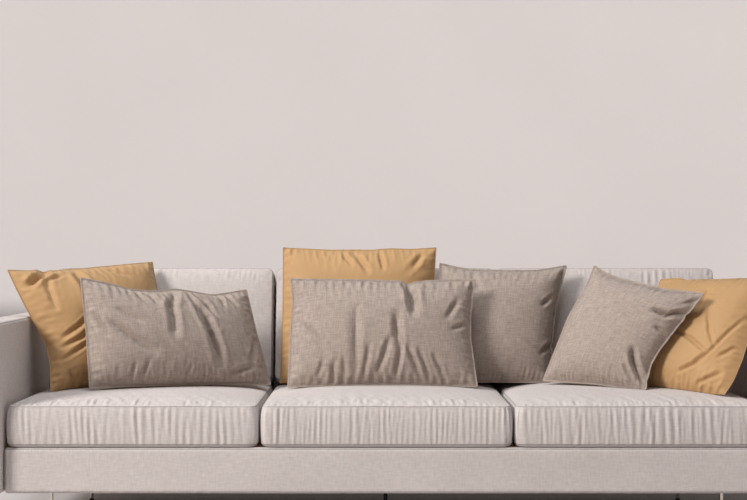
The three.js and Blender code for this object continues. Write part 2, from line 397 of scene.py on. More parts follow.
fold_wear_shade_group, enter, leave = new_group(
    "fold_wear_and_shade",
    [("Pointiness", NUMBER, 0.5), ("Amount", NUMBER, 1.0)],
    [("Value", NUMBER)],
)
tree = fold_wear_shade_group
FOLD_CONTRAST = 8.0
bend = calculate(tree, "SUBTRACT", enter.outputs["Pointiness"], 0.5)
contrast = calculate(tree, "MULTIPLY", enter.outputs["Amount"], FOLD_CONTRAST)
bend = calculate(tree, "MULTIPLY", bend, contrast)
bend = calculate(tree, "MINIMUM", calculate(tree, "MAXIMUM", bend, -1.0), 1.0)
tree.links.new(bend, leave.inputs["Value"])

mottle_group, enter, leave = new_group(
    "mottling",
    [("Place", ARROW, None), ("Size", NUMBER, 0.12)],
    [("Value", NUMBER)],
)
tree = mottle_group
mottle_scale = calculate(tree, "DIVIDE", 1.0, enter.outputs["Size"])
mottle = add_node(tree, "ShaderNodeTexNoise",
                  {"Vector": enter.outputs["Place"], "Scale": mottle_scale, "Detail": 3.0,
                   "Roughness": 0.55})
tree.links.new(calculate(tree, "SUBTRACT", mottle.outputs["Fac"], 0.5), leave.inputs["Value"])
print("groups:", [group.name for group in bpy.data.node_groups])

# %% [markdown]
# ## Three cloths
# All three cloths are the same recipe with other numbers: a weave for the threads with
# painted shade between them, slubs for their colour, mottling for the dye, seam lines of
# painted shade, wear and painted shade on the folds, and small crinkles that the mesh is too
# coarse to hold. The sofa is a tight pale weave. The linen is coarse and streaky,
# with visible stitches. The ochre sateen is fine and smooth with a soft sheen. Numbers that
# are the same all over, such as sheen, sit on the shader's own sockets.

# %% Cloth recipe
DYE_PATCH = 0.16
DYE_CHANGE = 0.14
FOLD_WEAR_AND_SHADE = 0.10
THREAD_SHADE = 0.16
THREAD_MIDDLE = 0.8
SEAM_BAND_DARKENING = 0.05
CRINKLES_PER_METRE = 55.0


def cloth_material(name, colour, thread, slub, slub_length, wear_and_shade, rough, sheen, bump,
                   crinkle, stitched=0.0, line=0.0012, seam_line_shade=0.45):
    material = bpy.data.materials.new(name)
    material.use_nodes = True
    tree = material.node_tree
    shader = tree.nodes["Principled BSDF"]
    pattern = add_node(tree, "ShaderNodeUVMap", uv_map="cloth").outputs["UV"]
    place = add_node(tree, "ShaderNodeTexCoord").outputs["Object"]
    seams = add_node(tree, "ShaderNodeAttribute", attribute_name="seam_distance")
    geometry = add_node(tree, "ShaderNodeNewGeometry")
    weave = use_group(tree, weave_group, {"Pattern": pattern, "Thread": thread})
    slubs = use_group(tree, slub_group, {"Pattern": pattern, "Thread": thread,
                                         "Length": slub_length,
                                         "Warp on top": weave.outputs["Warp on top"]})
    seam = use_group(tree, seam_group, {"Distance": seams.outputs["Fac"],
                                        "Pattern": pattern, "Line": line})
    folds = use_group(tree, fold_wear_shade_group, {"Pointiness": geometry.outputs["Pointiness"],
                                         "Amount": wear_and_shade})
    dye = use_group(tree, mottle_group, {"Place": place, "Size": DYE_PATCH})

    light = calculate(tree, "MULTIPLY_ADD",
                      calculate(tree, "SUBTRACT", slubs.outputs["Value"], 0.5), slub, 1.0)
    light = calculate(tree, "MULTIPLY_ADD", dye.outputs["Value"], DYE_CHANGE, light)
    # Folds: ridges paler and hollows darker, partly wear and partly painted light and shade.
    light = calculate(tree, "MULTIPLY_ADD", folds.outputs["Value"], FOLD_WEAR_AND_SHADE, light)
    deep = calculate(tree, "SUBTRACT", weave.outputs["Height"], THREAD_MIDDLE)
    light = calculate(tree, "MULTIPLY_ADD", deep, THREAD_SHADE, light)
    # The seam line is painted shade in the seam's groove.
    light = calculate(tree, "MULTIPLY_ADD", seam.outputs["Line"], -seam_line_shade, light)
    # A soft band beside each seam is a little darker.
    light = calculate(tree, "MULTIPLY_ADD", seam.outputs["Band"], -SEAM_BAND_DARKENING, light)
    light = calculate(tree, "MULTIPLY_ADD", seam.outputs["Thread"], stitched, light)
    tint = add_node(tree, "ShaderNodeCombineXYZ", {0: light, 1: light, 2: light})
    base = add_node(tree, "ShaderNodeMix",
                    {"Factor": 1.0, "A": (*colour, 1.0), "B": tint.outputs[0]},
                    data_type="RGBA", blend_type="MULTIPLY")
    tree.links.new(base.outputs["Result"], shader.inputs["Base Color"])

    roughness = calculate(tree, "MULTIPLY_ADD", folds.outputs["Value"], -0.05, rough)
    roughness = calculate(tree, "MULTIPLY_ADD", dye.outputs["Value"], 0.10, roughness, clamp=True)
    tree.links.new(roughness, shader.inputs["Roughness"])

    crinkles = add_node(tree, "ShaderNodeTexNoise",
                        {"Vector": pattern, "Scale": CRINKLES_PER_METRE, "Detail": 2.0,
                         "Distortion": 0.6})
    soft = add_node(tree, "ShaderNodeBump",
                    {"Strength": crinkle, "Distance": 0.002, "Height": crinkles.outputs["Fac"]})
    fine = calculate(tree, "MULTIPLY_ADD", slubs.outputs["Value"], 0.5, weave.outputs["Height"])
    threads = add_node(tree, "ShaderNodeBump",
                       {"Strength": bump, "Distance": thread * 0.25, "Height": fine,
                        "Normal": soft.outputs["Normal"]})
    tree.links.new(threads.outputs["Normal"], shader.inputs["Normal"])
    shader.inputs["Sheen Weight"].default_value = sheen
    shader.inputs["Sheen Roughness"].default_value = 0.45
    shader.inputs["Specular IOR Level"].default_value = 0.25
    return material


sofa_cloth = cloth_material("sofa cloth", (0.61, 0.553, 0.533), thread=0.0026, slub=0.55,
                            slub_length=0.014, wear_and_shade=0.8, rough=0.88, sheen=0.08, bump=0.7,
                            crinkle=0.12, line=0.0024, seam_line_shade=0.6)
taupe_linen = cloth_material("taupe linen", (0.372, 0.303, 0.262), thread=0.0022, slub=1.35,
                             slub_length=0.020, wear_and_shade=1.2, rough=0.90, sheen=0.10, bump=0.8,
                             crinkle=0.25, stitched=0.06, line=0.0016, seam_line_shade=0.22)
ochre_sateen = cloth_material("ochre sateen", (0.475, 0.284, 0.130), thread=0.0005, slub=0.14,
                              slub_length=0.03, wear_and_shade=0.9, rough=0.62, sheen=0.25, bump=0.3,
                              crinkle=0.15)
print("cloths:", [material.name for material in bpy.data.materials])

# %% [markdown]
# ## Hard and hidden finishes
# The legs are polished metal with faint brushing, the feet and the middle leg are black
# moulded plastic, the deck under the cushions is birch plywood, and a black fibre cloth
# closes the underside. Each finish is noise that is stretched or scaled as its own grain is.
# The stage is plain, with just enough unevenness not to look like paper. Its rim also glows,
# as a sunlit wall does. Only a small share of that glow may fall on the sofa, or it would
# fill every shadow, so Light Path asks whether the eye or the light is looking.

# %% Metal, plastic, plywood, dust cloth, stage
def plain_material(name):
    material = bpy.data.materials.new(name)
    material.use_nodes = True
    tree = material.node_tree
    place = add_node(tree, "ShaderNodeTexCoord").outputs["Object"]
    return material, tree, tree.nodes["Principled BSDF"], place


def colour_range(tree, factor, stops):
    ramp = add_node(tree, "ShaderNodeValToRGB", {"Fac": factor})
    while len(ramp.color_ramp.elements) < len(stops):
        ramp.color_ramp.elements.new(0.5)
    for element, (position, colour) in zip(ramp.color_ramp.elements, stops):
        element.position = position
        element.color = (*colour, 1.0)
    return ramp.outputs["Color"]


polished_steel, tree, shader, place = plain_material("polished steel")
brushing_space = add_node(tree, "ShaderNodeMapping", {"Vector": place, "Scale": (1.0, 1.0, 40.0)})
brushing = add_node(tree, "ShaderNodeTexNoise",
                    {"Vector": brushing_space.outputs[0], "Scale": 60.0, "Detail": 3.0})
smudges = use_group(tree, mottle_group, {"Place": place, "Size": 0.03})
tree.links.new(colour_range(tree, brushing.outputs["Fac"],
                            [(0.3, (0.66, 0.60, 0.52)), (0.7, (0.76, 0.70, 0.62))]),
               shader.inputs["Base Color"])
gloss = calculate(tree, "MULTIPLY_ADD", brushing.outputs["Fac"], 0.12, 0.10)
gloss = calculate(tree, "MULTIPLY_ADD", smudges.outputs["Value"], 0.15, gloss, clamp=True)
tree.links.new(gloss, shader.inputs["Roughness"])
shader.inputs["Metallic"].default_value = 1.0

black_plastic, tree, shader, place = plain_material("black plastic")
grit = add_node(tree, "ShaderNodeTexNoise", {"Vector": place, "Scale": 900.0, "Detail": 2.0})
scuffs = use_group(tree, mottle_group, {"Place": place, "Size": 0.02})
tree.links.new(colour_range(tree, scuffs.outputs["Value"],
                            [(0.0, (0.016, 0.015, 0.014)), (0.25, (0.030, 0.028, 0.026))]),
               shader.inputs["Base Color"])
tree.links.new(calculate(tree, "MULTIPLY_ADD", grit.outputs["Fac"], 0.25, 0.35),
               shader.inputs["Roughness"])
grit_bump = add_node(tree, "ShaderNodeBump",
                     {"Strength": 0.25, "Distance": 0.0002, "Height": grit.outputs["Fac"]})
tree.links.new(grit_bump.outputs[0], shader.inputs["Normal"])

birch_plywood, tree, shader, place = plain_material("birch plywood")
grain_space = add_node(tree, "ShaderNodeMapping", {"Vector": place, "Scale": (1.5, 22.0, 22.0)})
grain = add_node(tree, "ShaderNodeTexNoise",
                 {"Vector": grain_space.outputs[0], "Scale": 6.0, "Detail": 5.0,
                  "Distortion": 0.8})
tree.links.new(colour_range(tree, grain.outputs["Fac"],
                            [(0.3, (0.36, 0.22, 0.11)), (0.5, (0.47, 0.31, 0.16)),
                             (0.75, (0.56, 0.39, 0.22))]),
               shader.inputs["Base Color"])
tree.links.new(calculate(tree, "MULTIPLY_ADD", grain.outputs["Fac"], 0.25, 0.50),
               shader.inputs["Roughness"])
grain_bump = add_node(tree, "ShaderNodeBump",
                      {"Strength": 0.3, "Distance": 0.0006, "Height": grain.outputs["Fac"]})
tree.links.new(grain_bump.outputs[0], shader.inputs["Normal"])

dust_cloth, tree, shader, place = plain_material("dust cloth")
fibres = add_node(tree, "ShaderNodeTexVoronoi",
                  {"Vector": place, "Scale": 420.0}, feature="DISTANCE_TO_EDGE")
clouds = add_node(tree, "ShaderNodeTexNoise", {"Vector": place, "Scale": 25.0, "Detail": 4.0})
tree.links.new(colour_range(tree, clouds.outputs["Fac"],
                            [(0.35, (0.012, 0.012, 0.012)), (0.65, (0.030, 0.029, 0.028))]),
               shader.inputs["Base Color"])
tree.links.new(calculate(tree, "MULTIPLY_ADD", clouds.outputs["Fac"], 0.15, 0.80),
               shader.inputs["Roughness"])
fibre_bump = add_node(tree, "ShaderNodeBump",
                      {"Strength": 0.5, "Distance": 0.0004, "Height": fibres.outputs["Distance"]})
tree.links.new(fibre_bump.outputs[0], shader.inputs["Normal"])

stage_paint, tree, shader, place = plain_material("stage paint")
patches = add_node(tree, "ShaderNodeTexNoise", {"Vector": place, "Scale": 0.6, "Detail": 2.0})
tree.links.new(colour_range(tree, patches.outputs["Fac"],
                            [(0.3, (0.62, 0.585, 0.575)), (0.7, (0.66, 0.625, 0.615))]),
               shader.inputs["Base Color"])
shader.inputs["Roughness"].default_value = 0.95
WALL_FOOT = 0.02
WALL_FULL = 0.4
WALL_GLOW = 0.60
GLOW_ON_SOFA = 0.22
height = add_node(tree, "ShaderNodeSeparateXYZ", {0: place}).outputs[2]
wall = add_node(tree, "ShaderNodeMapRange",
                {"Value": height, "From Min": WALL_FOOT, "From Max": WALL_FULL},
                interpolation_type="SMOOTHSTEP")
glow = colour_range(tree, wall.outputs[0], [(0.0, (0.0, 0.0, 0.0)), (1.0, (0.72, 0.66, 0.64))])
seen = add_node(tree, "ShaderNodeLightPath").outputs["Is Camera Ray"]
shown = calculate(tree, "MULTIPLY_ADD", seen, 1 - GLOW_ON_SOFA, GLOW_ON_SOFA)
shown = add_node(tree, "ShaderNodeCombineXYZ", {0: shown, 1: shown, 2: shown}).outputs[0]
glow = add_node(tree, "ShaderNodeMix", {"Factor": 1.0, "A": glow, "B": shown},
                data_type="RGBA", blend_type="MULTIPLY").outputs["Result"]
tree.links.new(glow, shader.inputs["Emission Color"])
shader.inputs["Emission Strength"].default_value = WALL_GLOW
stage.data.materials.append(stage_paint)
print("materials:", len(bpy.data.materials))

# %% [markdown]
# ## A box skin to sew from
# Arms, rail, back and cushions are all boxes to an upholsterer: two panels and a strip, the
# boxing, sewn between them. So one helper lays a grid over the six sides of a box. Grid
# lines sit closer together beside a seam, where the cloth rolls over. Each face remembers
# its side, which gives the flat pattern of that side.

# %% Grid lines and the box skin
def grid_lines(low, high, cell, near_ends=()):
    """Lines about a cell apart, with extra ones at the distances near_ends from both ends."""
    reach = max(near_ends, default=0.0)
    count = max(1, round((high - low - 2 * reach) / cell))
    inner = np.linspace(low + reach, high - reach, count + 1)
    lines = {round(float(value), 6) for value in inner}
    for distance in (0.0, *near_ends):
        lines |= {round(low + distance, 6), round(high - distance, 6)}
    return np.array(sorted(lines))


def box_skin(xs, ys, zs):
    """Points, faces and each face's (axis, end) for the grid xs, ys, zs over a box."""
    lines = (xs, ys, zs)
    last = [len(line) - 1 for line in lines]
    numbers, points, faces, sides = {}, [], [], []

    def number(steps):
        if steps not in numbers:
            numbers[steps] = len(points)
            points.append([lines[axis][steps[axis]] for axis in range(3)])
        return numbers[steps]

    for axis in range(3):
        first, second = (axis + 1) % 3, (axis + 2) % 3
        for end in (0, 1):
            for i in range(last[first]):
                for j in range(last[second]):
                    face = []
                    for di, dj in ((0, 0), (1, 0), (1, 1), (0, 1)):
                        steps = [0, 0, 0]
                        steps[axis] = last[axis] * end
                        steps[first] = i + di
                        steps[second] = j + dj
                        face.append(number(tuple(steps)))
                    faces.append(face if end else face[::-1])
                    sides.append((axis, end))
    return np.array(points), faces, sides, numbers


def box_pattern(points, faces, sides):
    """The flat pattern: each side of the box laid out in metres, for every face corner."""
    between_axes, between_ends = 3.0, 1.5
    flat = []
    for face, (axis, end) in zip(faces, sides):
        across, along = ((1, 2), (0, 2), (0, 1))[axis]
        shift = between_axes * axis + between_ends * end
        for index in face:
            flat.append((points[index][across] + shift, points[index][along]))
    return flat


# %% [markdown]
# ## Rumples that are the same every time
# Tight upholstery is never flat. A handful of long waves in random directions, added up,
# gives a smooth uneven surface, and a fixed seed makes it the same surface every run. Beside
# a seam the waves are short and run away from it, because the thread draws the cloth in. A
# simulation could find those puckers, but on a grid far finer than a sofa can afford.

# %% Rumples
def rumple(points, seed, length, waves=14):
    """A smooth random height, about -1 to 1, at each point."""
    random = np.random.default_rng(seed)
    total = np.zeros(len(points))
    for _ in range(waves):
        direction = random.normal(size=3)
        direction /= np.linalg.norm(direction)
        turn = 2 * math.pi / (length * random.uniform(0.7, 1.6))
        total += np.sin(points @ (direction * turn) + random.uniform(0, 2 * math.pi))
    return total / math.sqrt(waves)


def gathers(along, away, seed, apart=0.026, rises=0.007, fades=0.035, lean=0.35, waves=9):
    """Puckers that a seam draws into cloth, by the place along it and the way from it."""
    random = np.random.default_rng(seed)
    total = np.zeros(len(along))
    for _ in range(waves):
        turn = 2 * math.pi / (apart * random.uniform(0.62, 1.5))
        slant = random.uniform(-lean, lean)
        swell = np.sin(2 * math.pi * along / random.uniform(0.11, 0.32)
                       + random.uniform(0, 2 * math.pi))
        total += (0.55 + 0.45 * swell) * np.sin(turn * (along + slant * away)
                                                + random.uniform(0, 2 * math.pi))
    away = np.maximum(away, 0.0)
    return total / math.sqrt(waves / 2) * (1 - np.exp(-away / rises)) * np.exp(-away / fades)


def rounded_box(points, low, high, radius):
    """Round the edges of a box skin, and give the outward direction at each point."""
    inner = np.clip(points, np.array(low) + radius, np.array(high) - radius)
    out = points - inner
    out /= np.maximum(np.linalg.norm(out, axis=1), 1e-9)[:, None]
    return inner + out * radius, out


# %% [markdown]
# ## Arms, rail and back
# These are wooden boxes with a thin foam pad and cloth pulled tight over it. The cloth is
# sewn along the edges, so each edge has a fine groove with small puckers beside it where
# the thread has drawn the cloth in. A bevelled cube has the outline but no seam, and a
# simulation would change little on cloth this tight, so the groove and the puckers are
# worked into the grid.

# %% Upholstered frame pieces
SEAM_GROOVE = 0.0016
GROOVE_WIDTH = 0.003
PUCKER = 0.0005
PUCKERS_APART = 0.021
PUCKER_REACH = 0.014
UNEVEN_FOAM = 0.0011
BESIDE_CROSS_SEAM = (-0.009, -0.003, 0.0, 0.003, 0.009)


def wrap(name, low, high, seam_axis, radius, cell, seed, shape=None, cross_seams=()):
    """Cloth over a box. The seams run round both ends of seam_axis, and up at cross_seams."""
    low, high = np.array(low, float), np.array(high, float)
    near = (radius * 0.35, radius * 0.7, radius, radius * 2.2)
    lines = [grid_lines(low[axis], high[axis], cell, near) for axis in range(3)]
    for seam in cross_seams:
        extra = [seam + step for step in BESIDE_CROSS_SEAM]
        kept = [value for value in lines[0] if abs(value - seam) > 0.013]
        lines[0] = np.array(sorted([*kept, *extra]))
    flat, faces, sides, _ = box_skin(*lines)
    others = [axis for axis in range(3) if axis != seam_axis]
    to_end = np.minimum(flat[:, seam_axis] - low[seam_axis], high[seam_axis] - flat[:, seam_axis])
    to_side = np.minimum.reduce([np.minimum(flat[:, axis] - low[axis], high[axis] - flat[:, axis])
                                 for axis in others])
    seam_distance = np.maximum(to_end, to_side)
    for seam in cross_seams:
        seam_distance = np.minimum(seam_distance, np.abs(flat[:, 0] - seam)
                                   + 10.0 * (flat[:, 1] < (low[1] + high[1]) / 2))
    points, out = rounded_box(flat, low, high, radius)
    along = flat[:, others].sum(1)
    depth = -SEAM_GROOVE * np.exp(-(seam_distance / GROOVE_WIDTH) ** 2)
    pucker = np.sin(along * 2 * math.pi / PUCKERS_APART + 2.5 * rumple(flat, seed, 0.25))
    strength = 1 + 0.6 * rumple(flat, seed + 1, 0.3)
    depth += PUCKER * pucker * np.exp(-seam_distance / PUCKER_REACH) * strength
    depth += UNEVEN_FOAM * rumple(flat, seed + 2, 0.42) * np.clip(seam_distance / 0.06, 0, 1)
    points = points + out * depth[:, None]
    if shape:
        points = shape(points)
    pattern = box_pattern(flat, faces, sides)
    mesh = make_mesh(name, points, faces, pattern, seam_distance)
    mesh.materials.append(sofa_cloth)
    print(name, "grid", [len(line) for line in lines])
    return mesh


EDGE_RADIUS = 0.012
RAIL_RADIUS = 0.013
for side, seed in (("left", 11), ("right", 23)):
    node = "arm_" + side
    mesh = wrap("arm_cover_" + side, *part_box(node), seam_axis=0, radius=EDGE_RADIUS,
                cell=0.020, seed=seed)
    make_piece("arm_cover_" + side, mesh, [node])

mesh = wrap("front_rail_cover", *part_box("front_rail"), seam_axis=1, radius=RAIL_RADIUS,
            cell=0.014, seed=31)
make_piece("front_rail_cover", mesh, ["front_rail"])

# %% [markdown]
# The back is the same kind of piece, but its front leans. The skin is made on an upright
# box and then sheared so that its front face follows the solid. Cloth is woven narrower
# than this sofa, so the outside back is pieced from three widths with two upright seams.

# %% Back cover
back_points = np.array([point.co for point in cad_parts["back_frame"].data.vertices])
back_low, back_high = back_points.min(0), back_points.max(0)
front_low = back_points[back_points[:, 2] < back_low[2] + 0.002][:, 1].min()
front_high = back_points[back_points[:, 2] > back_high[2] - 0.002][:, 1].min()


BACK_SEAMS = (-0.4025, 0.4025)


def lean_front(points):
    """Shear the upright skin so that its front leans and its rear stays upright."""
    height = (points[:, 2] - back_low[2]) / (back_high[2] - back_low[2])
    depth = (back_high[1] - points[:, 1]) / (back_high[1] - back_low[1])
    front = front_low + (front_high - front_low) * height
    moved = points.copy()
    moved[:, 1] = back_high[1] - depth * (back_high[1] - front)
    return moved


mesh = wrap("back_cover", back_low, back_high, seam_axis=1, radius=EDGE_RADIUS, cell=0.022,
            seed=41, shape=lean_front, cross_seams=BACK_SEAMS)
make_piece("back_cover", mesh, ["back_frame"])
print("back front edge from y", round(front_low, 3), "to", round(front_high, 3))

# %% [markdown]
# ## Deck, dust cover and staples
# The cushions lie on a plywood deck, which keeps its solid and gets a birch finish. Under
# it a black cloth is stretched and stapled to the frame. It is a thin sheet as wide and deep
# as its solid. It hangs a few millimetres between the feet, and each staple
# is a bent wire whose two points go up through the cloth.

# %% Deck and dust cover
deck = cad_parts["seat_platform"]
deck.data.materials.clear()
deck.data.materials.append(birch_plywood)
cover_low, cover_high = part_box("dust_cover")
SHEET_THICKNESS = 0.0008
SAG = 0.004
foot_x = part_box("leg_front_right")[0][0]


BESIDE_FOOT = 0.05


def cover_height(points):
    """The sheet hangs lowest half way between the middle foot and the outer ones."""
    bay = foot_x - BESIDE_FOOT - BESIDE_FOOT
    across = np.clip((np.abs(points[:, 0]) - BESIDE_FOOT) / bay, 0, 1)
    along = (points[:, 1] - cover_low[1]) / (cover_high[1] - cover_low[1])
    return -SAG * np.sin(np.pi * across) * np.sin(np.pi * np.clip(along, 0, 1))


SHEET_CELL = 0.035
HEM = 0.01
xs = grid_lines(cover_low[0], cover_high[0], SHEET_CELL, (HEM,))
ys = grid_lines(cover_low[1], cover_high[1], SHEET_CELL, (HEM,))
zs = np.array([cover_high[2] - SHEET_THICKNESS, cover_high[2]])
points, faces, sides, _ = box_skin(xs, ys, zs)
pattern = box_pattern(points, faces, sides)
points[:, 2] += cover_height(points)
mesh = make_mesh("dust_cover_sheet", points, faces, pattern)
mesh.materials.append(dust_cloth)
dust_sheet = make_piece("dust_cover_sheet", mesh, ["dust_cover"], smooth_levels=0,
                        sharp_degrees=50)

# %% Staples
def staple(x, y, angle):
    """A bent wire: a crown 10 mm wide under the cloth, and two legs going up through it."""
    half, wire, leg = 0.005, 0.0006, 0.003
    bend_in, bend_up, below = 0.0005, 0.0004, 0.0007
    base = cover_high[2] - SHEET_THICKNESS - below
    path = [(-half, leg), (-half, bend_up), (-half + bend_in, 0.0), (half - bend_in, 0.0),
            (half, bend_up), (half, leg)]
    points, faces = [], []
    turn = (math.cos(angle), math.sin(angle))
    for along, up in path:
        for across, lift in ((-wire, -wire / 2), (wire, -wire / 2), (wire, wire / 2),
                             (-wire, wire / 2)):
            inward = lift if abs(along) < half else 0.0
            sideways = -lift * math.copysign(1, along) if abs(along) == half else 0.0
            reach = along + sideways
            points.append((x + reach * turn[0] - across * turn[1],
                           y + reach * turn[1] + across * turn[0], base + up + inward))
    rings = len(path)
    for ring in range(rings - 1):
        for step in range(4):
            after = (step + 1) % 4
            faces.append([4 * ring + step, 4 * ring + 4 + step, 4 * ring + 4 + after,
                          4 * ring + after])
    faces.append([0, 1, 2, 3])
    faces.append([4 * rings - 1, 4 * rings - 2, 4 * rings - 3, 4 * rings - 4])
    return points, faces


staples = []
margin = 0.009
long_row, short_row = 34, 10
for x in np.linspace(cover_low[0] + 0.04, cover_high[0] - 0.04, long_row):
    staples.append(staple(x, cover_low[1] + margin, 0.0))
    staples.append(staple(x, cover_high[1] - margin, 0.0))
for y in np.linspace(cover_low[1] + 0.05, cover_high[1] - 0.05, short_row):
    staples.append(staple(cover_low[0] + margin, y, math.pi / 2))
    staples.append(staple(cover_high[0] - margin, y, math.pi / 2))
mesh = make_mesh("dust_cover_staples", *joined(staples))
mesh.materials.append(polished_steel)
staple_row = make_piece("dust_cover_staples", mesh, [], smooth_levels=0,
                        sharp_degrees=30)

# %% [markdown]
# ## Legs
# Each corner has a slim metal rod screwed to a square plate, and stands on a small plastic
# glide. The middle one is a plain black support. The rod gets a collar where it meets the
# plate and a chamfer at its foot. The plate has rounded corners and four domed screws.

# %% Rods, glides and plates
PLATE_THICKNESS = 0.003
PLATE_EDGE = 0.0006
PLATE_CORNER = 0.006
SCREW_PLACE = 0.68


def hard_piece(name, shape, finish, node):
    """A lathe or plate shape with one finish, and sharp edges where it turns a corner."""
    mesh = make_mesh(name, *shape)
    mesh.materials.append(finish)
    make_piece(name, mesh, [node], smooth_levels=0, sharp_degrees=35)


corners = ["front_left", "front_right", "rear_left", "rear_right", "centre"]
for corner in corners:
    if corner == "centre":
        finish, slot = black_plastic, "black_plastic"
    else:
        finish, slot = polished_steel, "polished_steel"
    low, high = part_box("leg_" + corner)
    centre = ((low[0] + high[0]) / 2, (low[1] + high[1]) / 2, 0)
    radius = (high[0] - low[0]) / 2
    rod = [(0, low[2]), (radius - 0.0012, low[2]), (radius, low[2] + 0.0015),
           (radius, high[2] - 0.0135), (radius + 0.0002, high[2] - 0.0130),
           (radius + 0.0030, high[2] - 0.0110), (radius + 0.0036, high[2] - 0.0090),
           (radius + 0.0036, high[2] - 0.0010), (radius + 0.0030, high[2]), (0, high[2])]
    hard_piece("rod_" + corner, turned(rod, 32, centre), finish, "leg_" + corner)

    low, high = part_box("glide_" + corner)
    wide = (high[0] - low[0]) / 2
    foot = [(0, low[2]), (wide - 0.0025, low[2]), (wide - 0.0008, low[2] + 0.0006),
            (wide, low[2] + 0.0022), (wide, high[2] - 0.0026), (wide - 0.0006, high[2] - 0.0012),
            (radius + 0.0008, high[2]), (0, high[2])]
    hard_piece("foot_" + corner, turned(foot, 32, centre), black_plastic,
               "glide_" + corner)

    low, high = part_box("leg_plate_" + corner)
    half = (high[0] - low[0]) / 2
    plate_low, plate_top = high[2] - PLATE_THICKNESS, high[2]
    near = (PLATE_EDGE, PLATE_CORNER * 0.5, PLATE_CORNER)
    xs = grid_lines(-half, half, 0.012, near)
    zs = np.array([plate_low, plate_low + PLATE_EDGE, plate_top - PLATE_EDGE, plate_top])
    points, faces, _, _ = box_skin(xs, xs, zs)
    inner = np.clip(points[:, :2], -half + PLATE_CORNER, half - PLATE_CORNER)
    out = points[:, :2] - inner
    length = np.maximum(np.linalg.norm(out, axis=1), 1e-9)
    points[:, :2] = inner + out * (np.abs(out).max(1) / length)[:, None]
    points[:, :2] += centre[:2]
    parts = [(points, faces)]
    dome = [(0, plate_low - 0.0022), (0.0012, plate_low - 0.0021),
            (0.0026, plate_low - 0.0014), (0.0034, plate_low - 0.0003),
            (0.0034, plate_low + 0.0008), (0, plate_low + 0.0008)]
    for sx in (-1, 1):
        for sy in (-1, 1):
            spot = (centre[0] + sx * half * SCREW_PLACE, centre[1] + sy * half * SCREW_PLACE, 0)
            parts.append(turned(dome, 20, spot))
    hard_piece("plate_" + corner, joined(parts), finish, "leg_plate_" + corner)
print("legs:", len(corners))

# %% [markdown]
# ## Stuffed cloth from a simulation
# A cushion's shape comes from cloth that is a little larger than the foam inside it, held
# along its seams and pushed out by the filling. Blender's Cloth does exactly that: the flat
# pattern is its rest shape, the seams are pinned, and pressure is the filling. Sculpting
# the folds by hand gives more control, but rarely the right rhythm. All the pieces are
# simulated in the same frames, so the computer works on them side by side. Mass counts for
# each point, so a fine grid needs a smaller one than a coarse grid, or it hangs like lead.

# %% Lay out cloth and let it settle
CLOTH_STRETCH = 15.0
CLOTH_SHEAR = 5.0
CLOTH_DAMPING = 5.0
LAST_CACHED_FRAME = 250


def hang_cloth(name, points, faces, flat, held, pressure, bending, tighter=None, quality=4,
               mass=0.004):
    """A cloth object. held is each point's pin weight, tighter marks where it is cut smaller."""
    mesh = bpy.data.meshes.new(name)
    mesh.from_pydata(np.asarray(points, float).tolist(), [], faces)
    mesh.update()
    cloth = bpy.data.objects.new(name, mesh)
    scene.collection.objects.link(cloth)
    cloth.shape_key_add(name="Basis")
    pattern = cloth.shape_key_add(name="flat pattern")
    pattern.data.foreach_set("co", np.asarray(flat, np.float32).ravel())
    pattern.value = 0.0
    pins = cloth.vertex_groups.new(name="held")
    for weight in np.unique(np.round(held, 2)):
        if weight > 0:
            chosen = np.flatnonzero(np.round(held, 2) == weight).tolist()
            pins.add(chosen, float(weight), "REPLACE")
    modifier = cloth.modifiers.new("cloth", "CLOTH")
    settings = modifier.settings
    settings.quality = quality
    settings.mass = mass
    settings.tension_stiffness = CLOTH_STRETCH
    settings.compression_stiffness = CLOTH_STRETCH
    settings.shear_stiffness = CLOTH_SHEAR
    settings.bending_stiffness = bending
    settings.tension_damping = CLOTH_DAMPING
    settings.compression_damping = CLOTH_DAMPING
    settings.shear_damping = CLOTH_DAMPING
    settings.bending_damping = 0.5
    settings.air_damping = 1.0
    settings.vertex_group_mass = "held"
    settings.rest_shape_key = pattern
    settings.use_pressure = True
    settings.uniform_pressure_force = pressure
    settings.effector_weights.gravity = 0.0
    if tighter is not None:
        shrinking = cloth.vertex_groups.new(name="tighter")
        steps = np.round(np.clip(tighter, 0, 1), 1)
        for weight in np.unique(steps):
            shrinking.add(np.flatnonzero(steps == weight).tolist(), float(weight), "REPLACE")
    modifier.collision_settings.use_collision = False
    modifier.collision_settings.use_self_collision = False
    modifier.point_cache.frame_start = 1
    modifier.point_cache.frame_end = LAST_CACHED_FRAME
    return cloth


def settle(cloths, frames):
    """Run the cloths together, and give back where each one's points came to rest."""
    for step in range(1, frames + 1):
        scene.frame_set(step)
    graph = bpy.context.evaluated_depsgraph_get()
    settled = []
    for cloth in cloths:
        result = cloth.evaluated_get(graph).data
        places = np.zeros(3 * len(result.vertices), np.float32)
        result.vertices.foreach_get("co", places)
        settled.append(places.reshape(-1, 3).astype(float))
    for cloth, places in zip(cloths, settled):
        if not np.isfinite(places).all():
            raise ValueError(cloth.name + ": the cloth flew apart")
    for cloth in cloths:
        mesh = cloth.data
        bpy.data.objects.remove(cloth)
        bpy.data.meshes.remove(mesh)
    scene.frame_set(1)
    return settled


# %% [markdown]
# ## Cloth that touches keeps clear
# A cushion rests on its neighbours and never passes through them. After the simulation each
# point that lies inside a neighbour, or closer than a millimetre, is moved to its surface.
# Collisions inside the simulation would do the same, many times slower.

# %% Keep a soft piece clear of its neighbours
skins = {}


def skin_of(thing):
    """A search tree over a piece's shown surface, and its lowest and highest corner."""
    if thing.name not in skins:
        mesh = thing.evaluated_get(bpy.context.evaluated_depsgraph_get()).to_mesh()
        places = np.zeros(3 * len(mesh.vertices), np.float32)
        mesh.vertices.foreach_get("co", places)
        places = places.reshape(-1, 3)
        faces = [tuple(polygon.vertices) for polygon in mesh.polygons]
        skins[thing.name] = (BVHTree.FromPolygons(places.tolist(), faces),
                             places.min(0), places.max(0))
    return skins[thing.name]


